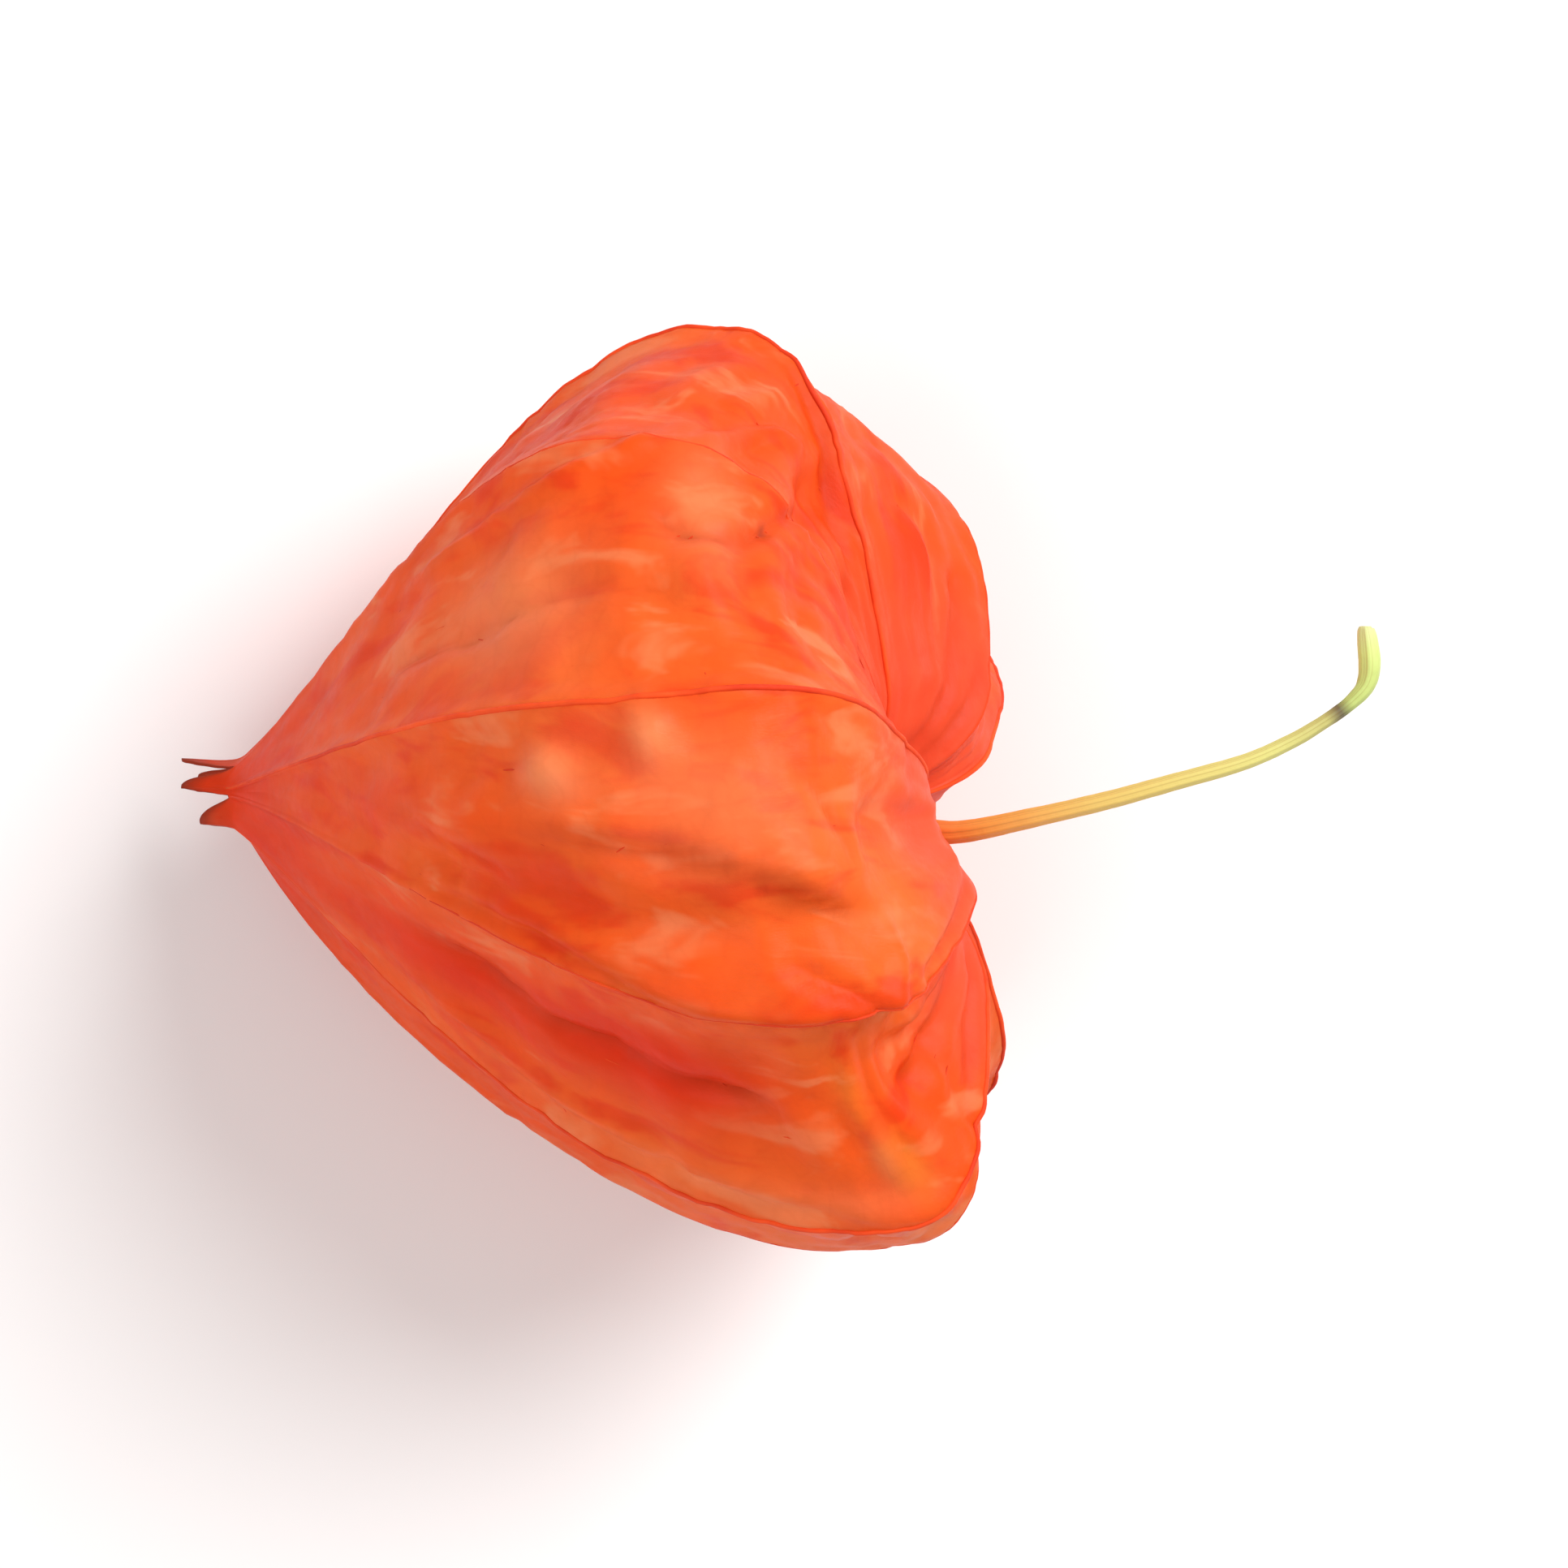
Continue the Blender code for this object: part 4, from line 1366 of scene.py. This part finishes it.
@dataclass
class VeinNet:
    """Side veins with a ladder of finer ones between, and thin dark cords along the folds that paint the
    shade of their creases.
    """

    paper: Paper
    branches: int = 8
    first_place: float = 0.75
    last_place: float = 2.62
    rise: float = 0.34
    meet: float = 0.52
    sunk: float = 0.35
    sides: int = 6
    fold_edge: float = 0.12
    edge_raised: float = 0.4
    edge_steps: int = 10
    edge_taper: float = 0.3
    seed: int = 8

    def edge(self, crease: Crease, routes: list[np.ndarray], radii: list[np.ndarray],
             dry: list[np.ndarray]) -> None:
        """Lay a thin dark cord along a fold, as painted crease shade, and add it to the lists.

        Args:
            crease: The fold; its painted crease shade says how thick the cord is.
            routes: Gets its points in metres.
            radii: Gets its radii in metres.
            dry: Gets its dryness mask.
        """
        spots = through_points(np.array(crease.route, dtype=float), self.edge_steps)
        found = [self.paper.form.locate(angle, place) for angle, place in spots]
        panel = np.array([panel for panel, _ in found])
        across = np.array([across for _, across in found])
        column = self.paper.column_of(panel, across)
        points, normals = self.paper.follow(column, self.paper.row_of(spots[:, 1]))
        share = np.linspace(0.0, 1.0, len(points))
        taper = 0.15 + 0.85 * ease(share, 0.0, self.edge_taper) * ease(share, 1.0, 1.0 - self.edge_taper)
        radius = self.fold_edge * math.sqrt(crease.crease_shade) * taper
        routes.append(points + normals * (self.edge_raised * radius * MM)[:, None])
        radii.append(radius * MM)
        dry.append(np.zeros(len(points)))

    def branch(self, dice: np.random.Generator, start: float, toward: float) -> np.ndarray:
        """Shares across the panel and places of one branch, from its rib to the middle.

        Args:
            dice: Source of the small differences.
            start: Place where it leaves its rib.
            toward: 1 from the rib before the panel, -1 from the one after it.

        Returns:
            Rows of share across and place.
        """
        share = np.linspace(0.0, 1.0, 14)
        reach = self.meet * dice.uniform(0.85, 1.15)
        across = reach * share ** dice.uniform(0.8, 1.0)
        across = across if toward > 0 else 1.0 - across
        lift = self.rise * dice.uniform(0.75, 1.25) * (0.45 * share + 0.55 * share ** 2)
        wander = 0.008 * dice.normal() * np.sin(math.pi * share * 2.0 + dice.uniform(0.0, 6.0))
        return np.column_stack([across, start + lift + wander])

    def ladder(self, dice: np.random.Generator, lower: np.ndarray, upper: np.ndarray) -> list[np.ndarray]:
        """Fine veins between two neighbouring branches."""
        found = []
        for share in np.arange(0.16, 0.95, 0.17) + dice.uniform(-0.04, 0.04):
            index = share * (len(lower) - 1)
            shift = dice.uniform(-1.6, 1.6)
            steps = np.arange(len(lower))
            start = np.array([np.interp(index, steps, lower[:, axis]) for axis in (0, 1)])
            end = np.array([np.interp(index + shift, steps, upper[:, axis]) for axis in (0, 1)])
            part = np.linspace(0.0, 1.0, 7)[:, None]
            bow = np.sin(math.pi * part) * np.array([[dice.normal(0.0, 0.025), dice.normal(0.0, 0.012)]])
            found.append(start + (end - start) * part + bow)
        return found

    def build(self, finish: CordFinish) -> bpy.types.Object:
        """Build the veins.

        Args:
            finish: Their finish.

        Returns:
            The piece with all side veins and fold edges.
        """
        dice = np.random.default_rng(self.seed)
        routes, radii, dry = [], [], []
        starts = np.linspace(self.first_place, self.last_place, self.branches)
        for panel in range(len(self.paper.form.ribs)):
            for toward in (1.0, -1.0):
                jitter = dice.uniform(-0.06, 0.06, len(starts))
                lines = [self.branch(dice, start, toward) for start in starts + jitter]
                for line in lines:
                    self.lay(panel, line, VeinOrder.BRANCH, routes, radii, dry)
                for lower, upper in zip(lines, lines[1:]):
                    for line in self.ladder(dice, lower, upper):
                        self.lay(panel, line, VeinOrder.LADDER, routes, radii, dry)
        # Thin dark cords along the shaded folds: painted crease shade
        for crease in self.paper.creases:
            if crease.crease_shade > 0.0:
                self.edge(crease, routes, radii, dry)
        mesh = cords_mesh("husk_veins", routes, radii, {"dry": dry})
        return sweep_tree("vein_sweep", self.sides).apply(link("husk_veins", mesh), finish.material())

    def lay(self, panel: int, line: np.ndarray, order: VeinOrder, routes: list[np.ndarray],
            radii: list[np.ndarray], dry: list[np.ndarray]) -> None:
        """Lay one vein on the paper and add it to the lists.

        Args:
            panel: Its panel.
            line: Rows of share across and place.
            order: Its size.
            routes: Gets its points in metres.
            radii: Gets its radii in metres.
            dry: Gets its dryness mask.
        """
        place = np.clip(line[:, 1], 0.1, 2.97)
        column = self.paper.column_of(np.full(len(place), panel), line[:, 0])
        points, normals = self.paper.follow(column, self.paper.row_of(place))
        share = np.linspace(0.0, 1.0, len(place))
        taper = 1.0 - 0.6 * share if order is VeinOrder.BRANCH else 1.0 - 0.35 * np.sin(math.pi * share)
        radius = order.value * taper * (1.0 - 0.5 * ease(place, 2.2, 2.95))
        routes.append(points - normals * (self.sunk * radius * MM)[:, None])
        radii.append(radius * MM)
        dry.append(0.0 * place)


@dataclass
class Stalk:
    """The dry stalk: a grooved sweep with a head, a knuckle and a club end."""

    form: LanternForm
    head: tuple[tuple[float, float], ...] = (
        (30.9, 0.9), (31.3, 1.9), (32.2, 2.0), (32.6, 1.5), (33.0, 0.95), (34.0, 0.84), (35.5, 0.78))
    route: tuple[tuple[Point, float], ...] = (
        ((35.6, -1.9, 17.9), 0.74), ((37.6, -1.9, 19.0), 0.66), ((41.2, -1.1, 20.6), 0.58),
        ((44.9, -0.2, 21.6), 0.54), ((48.5, 0.8, 22.1), 0.51), ((52.1, 1.8, 22.2), 0.48),
        ((54.9, 3.0, 22.1), 0.45), ((57.3, 4.4, 21.8), 0.43), ((58.7, 5.5, 21.6), 0.50),
        ((59.2, 6.3, 21.5), 0.60), ((59.3, 7.2, 21.5), 0.66), ((59.2, 8.3, 21.5), 0.62),
        ((59.1, 9.0, 21.5), 0.50), ((59.1, 9.2, 21.5), 0.30))
    steps: int = 12
    sides: int = 28
    grooves: int = 7
    groove_depth: float = 0.07
    knot_height: float = 0.05

    def knots(self) -> np.ndarray:
        """Route and radius from the head inside the husk to the cut end."""
        along = self.form.axes()[0]
        points = [[*(along * level), radius] for level, radius in self.head]
        points += [[*point, radius] for point, radius in self.route]
        return np.array(points)

    def sweep(self) -> GeometryWriter:
        """Geometry Nodes: a grooved cord along the route, a little knotty."""
        tree = GeometryWriter("stalk_sweep")
        tree.then("GeometryNodeMeshToCurve")
        sides = tree.size("Sides", self.sides)
        circle = tree.fill(tree.add("GeometryNodeCurvePrimitiveCircle"), Resolution=sides, Radius=1.0)
        ring = tree.add("GeometryNodeInputPosition").outputs[0]
        marked = tree.add("GeometryNodeStoreNamedAttribute", data_type="FLOAT_VECTOR", domain="POINT")
        tree.fill(marked, Geometry=circle.outputs[0], Name="ring", Value=ring)
        factor = tree.add("GeometryNodeSplineParameter").outputs["Factor"]
        turn = tree.product(factor, 2.0 * math.pi, tree.size("Grooves", float(self.grooves)))
        wave = tree.math("SUBTRACT", tree.math("COSINE", turn), 1.0)
        depth = tree.math("MULTIPLY_ADD", wave, tree.size("Groove depth", self.groove_depth), 1.0)
        lobed = tree.fill(tree.add("GeometryNodeSetPosition"), Geometry=marked.outputs[0],
                          Position=tree.scaled(ring, depth))
        radius = tree.read("cord_radius")
        tree.then("GeometryNodeCurveToMesh", Profile_Curve=lobed.outputs[0], Scale=radius, Fill_Caps=True)
        seed = tree.size("Seed", 4)
        rough = tree.noise(tree.add("GeometryNodeInputPosition").outputs[0], 700.0, 3.0, 0.6, seed)
        knot_height = tree.size("Knot height", 2.0 * self.knot_height * MM)
        bulge = tree.product(tree.math("SUBTRACT", rough, 0.8), knot_height)
        normal = tree.add("GeometryNodeInputNormal").outputs[0]
        tree.then("GeometryNodeSetPosition", Offset=tree.scaled(normal, bulge))
        tree.then("GeometryNodeSetShadeSmooth")
        return tree

    def build(self, neck: np.ndarray, finish: StalkFinish) -> bpy.types.Object:
        """Build the stalk.

        Args:
            neck: Where the neck of the husk is, in millimetres.
            finish: Its finish.

        Returns:
            The piece.
        """
        line = through_points(self.knots(), self.steps)
        length = np.concatenate([[0.0], np.cumsum(np.linalg.norm(np.diff(line[:, :3], axis=0), axis=1))])
        along = length / length[-1]
        mesh = cords_mesh("stalk", [(line[:, :3] + neck) * MM], [line[:, 3] * MM], {"along": [along]})
        return self.sweep().apply(link("stalk", mesh), finish.material())


@dataclass(frozen=True)
class Studio:
    """Pale floor, soft light from the upper right, and the camera above. Places are in metres."""

    floor_size: float = 3.0
    floor_drop: float = 0.00004
    camera_place: Point = (-0.05021, 0.000545, 0.330)
    camera_tilt: float = math.radians(-9.3)
    lens: float = 131.0
    sensor: float = 36.0
    sky: float = 0.48
    sky_tint: Colour = (1.0, 0.98, 0.97)
    key_place: Point = (0.42, 0.38, 0.62)
    key_size: float = 0.60
    key_power: float = 7.2
    fill_place: Point = (-0.45, -0.25, 0.55)
    fill_size: float = 0.7
    fill_power: float = 2.4

    def floor(self) -> bpy.types.Object:
        """The floor, which isn't part of the object."""
        half = 0.5 * self.floor_size
        square = ((-half, -half), (half, -half), (half, half), (-half, half))
        corners = [(x, y, -self.floor_drop) for x, y in square]
        mesh = bpy.data.meshes.new("floor")
        mesh.from_pydata(corners, [], [(0, 1, 2, 3)])
        mesh.materials.append(FloorFinish().material())
        item = link("floor", mesh)
        return item

    def light(self, name: str, place: Point, size: float, power: float) -> bpy.types.Object:
        """One soft lamp that faces the husk."""
        lamp = bpy.data.lights.new(name, "AREA")
        lamp.shape = "DISK"
        lamp.size = size
        lamp.energy = power
        item = bpy.data.objects.new(name, lamp)
        item.location = place
        item.rotation_euler = (-Vector(place)).to_track_quat("-Z", "Y").to_euler()
        bpy.context.scene.collection.objects.link(item)
        return item

    def camera(self) -> bpy.types.Object:
        """The camera, at the photo's place, turned to the husk."""
        lens = bpy.data.cameras.new("camera")
        lens.sensor_width = self.sensor
        lens.lens = self.lens
        lens.clip_start, lens.clip_end = 0.01, 10.0
        item = bpy.data.objects.new("camera", lens)
        item.location = self.camera_place
        item.rotation_euler = (0.0, self.camera_tilt, 0.0)
        bpy.context.scene.collection.objects.link(item)
        bpy.context.scene.camera = item
        return item

    def sky_light(self) -> None:
        """Even white light from all round."""
        world = bpy.data.worlds.new("soft_sky")
        world.use_nodes = True
        background = world.node_tree.nodes["Background"]
        background.inputs["Color"].default_value = (*self.sky_tint, 1.0)
        background.inputs["Strength"].default_value = self.sky
        bpy.context.scene.world = world

    def build(self) -> None:
        """Set up floor, lights and camera."""
        self.floor()
        self.light("key", self.key_place, self.key_size, self.key_power)
        self.light("fill", self.fill_place, self.fill_size, self.fill_power)
        self.sky_light()
        self.camera()
        bpy.context.scene.view_settings.view_transform = "Standard"


def neck_place(stalk: Stalk) -> np.ndarray:
    """Where the neck is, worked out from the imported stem.

    Args:
        stalk: The stalk, whose route starts from the neck.

    Returns:
        The neck in millimetres.
    """
    far = np.array(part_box("stem")[1]) / MM
    knots = stalk.knots()
    length = (knots[:, 0] + knots[:, 3]).max()
    return np.array([far[0] - length, far[1] - knots[:, 1].max(), stalk.form.neck_height])


def ride(item: bpy.types.Object, slot: str, *nodes: str) -> None:
    """Fasten a finished piece to the body, hide the imported parts that it stands in for, and log its faces.
    """
    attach(item, BODY)
    if nodes:
        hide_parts(*nodes)
    LOG.info("%s: %d faces", item.name, len(item.data.polygons))


def main() -> None:
    """Build every piece, then the studio."""
    logging.basicConfig(level=logging.INFO, format="%(name)s: %(message)s")
    form = LanternForm()
    stalk = Stalk(form)
    neck = neck_place(stalk)
    LOG.info("neck at %s mm", np.round(neck, 3))
    paper = Paper(form, neck)
    ride(paper.build(PaperFinish()), "husk_paper", "husk")
    ride(RibCords(paper).build(CordFinish()), "husk_paper")
    ride(VeinNet(paper).build(CordFinish()), "husk_paper")
    ride(stalk.build(neck, StalkFinish()), "stalk_skin", "stem")
    Studio().build()
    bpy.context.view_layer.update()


if __name__ == "__main__":
    main()
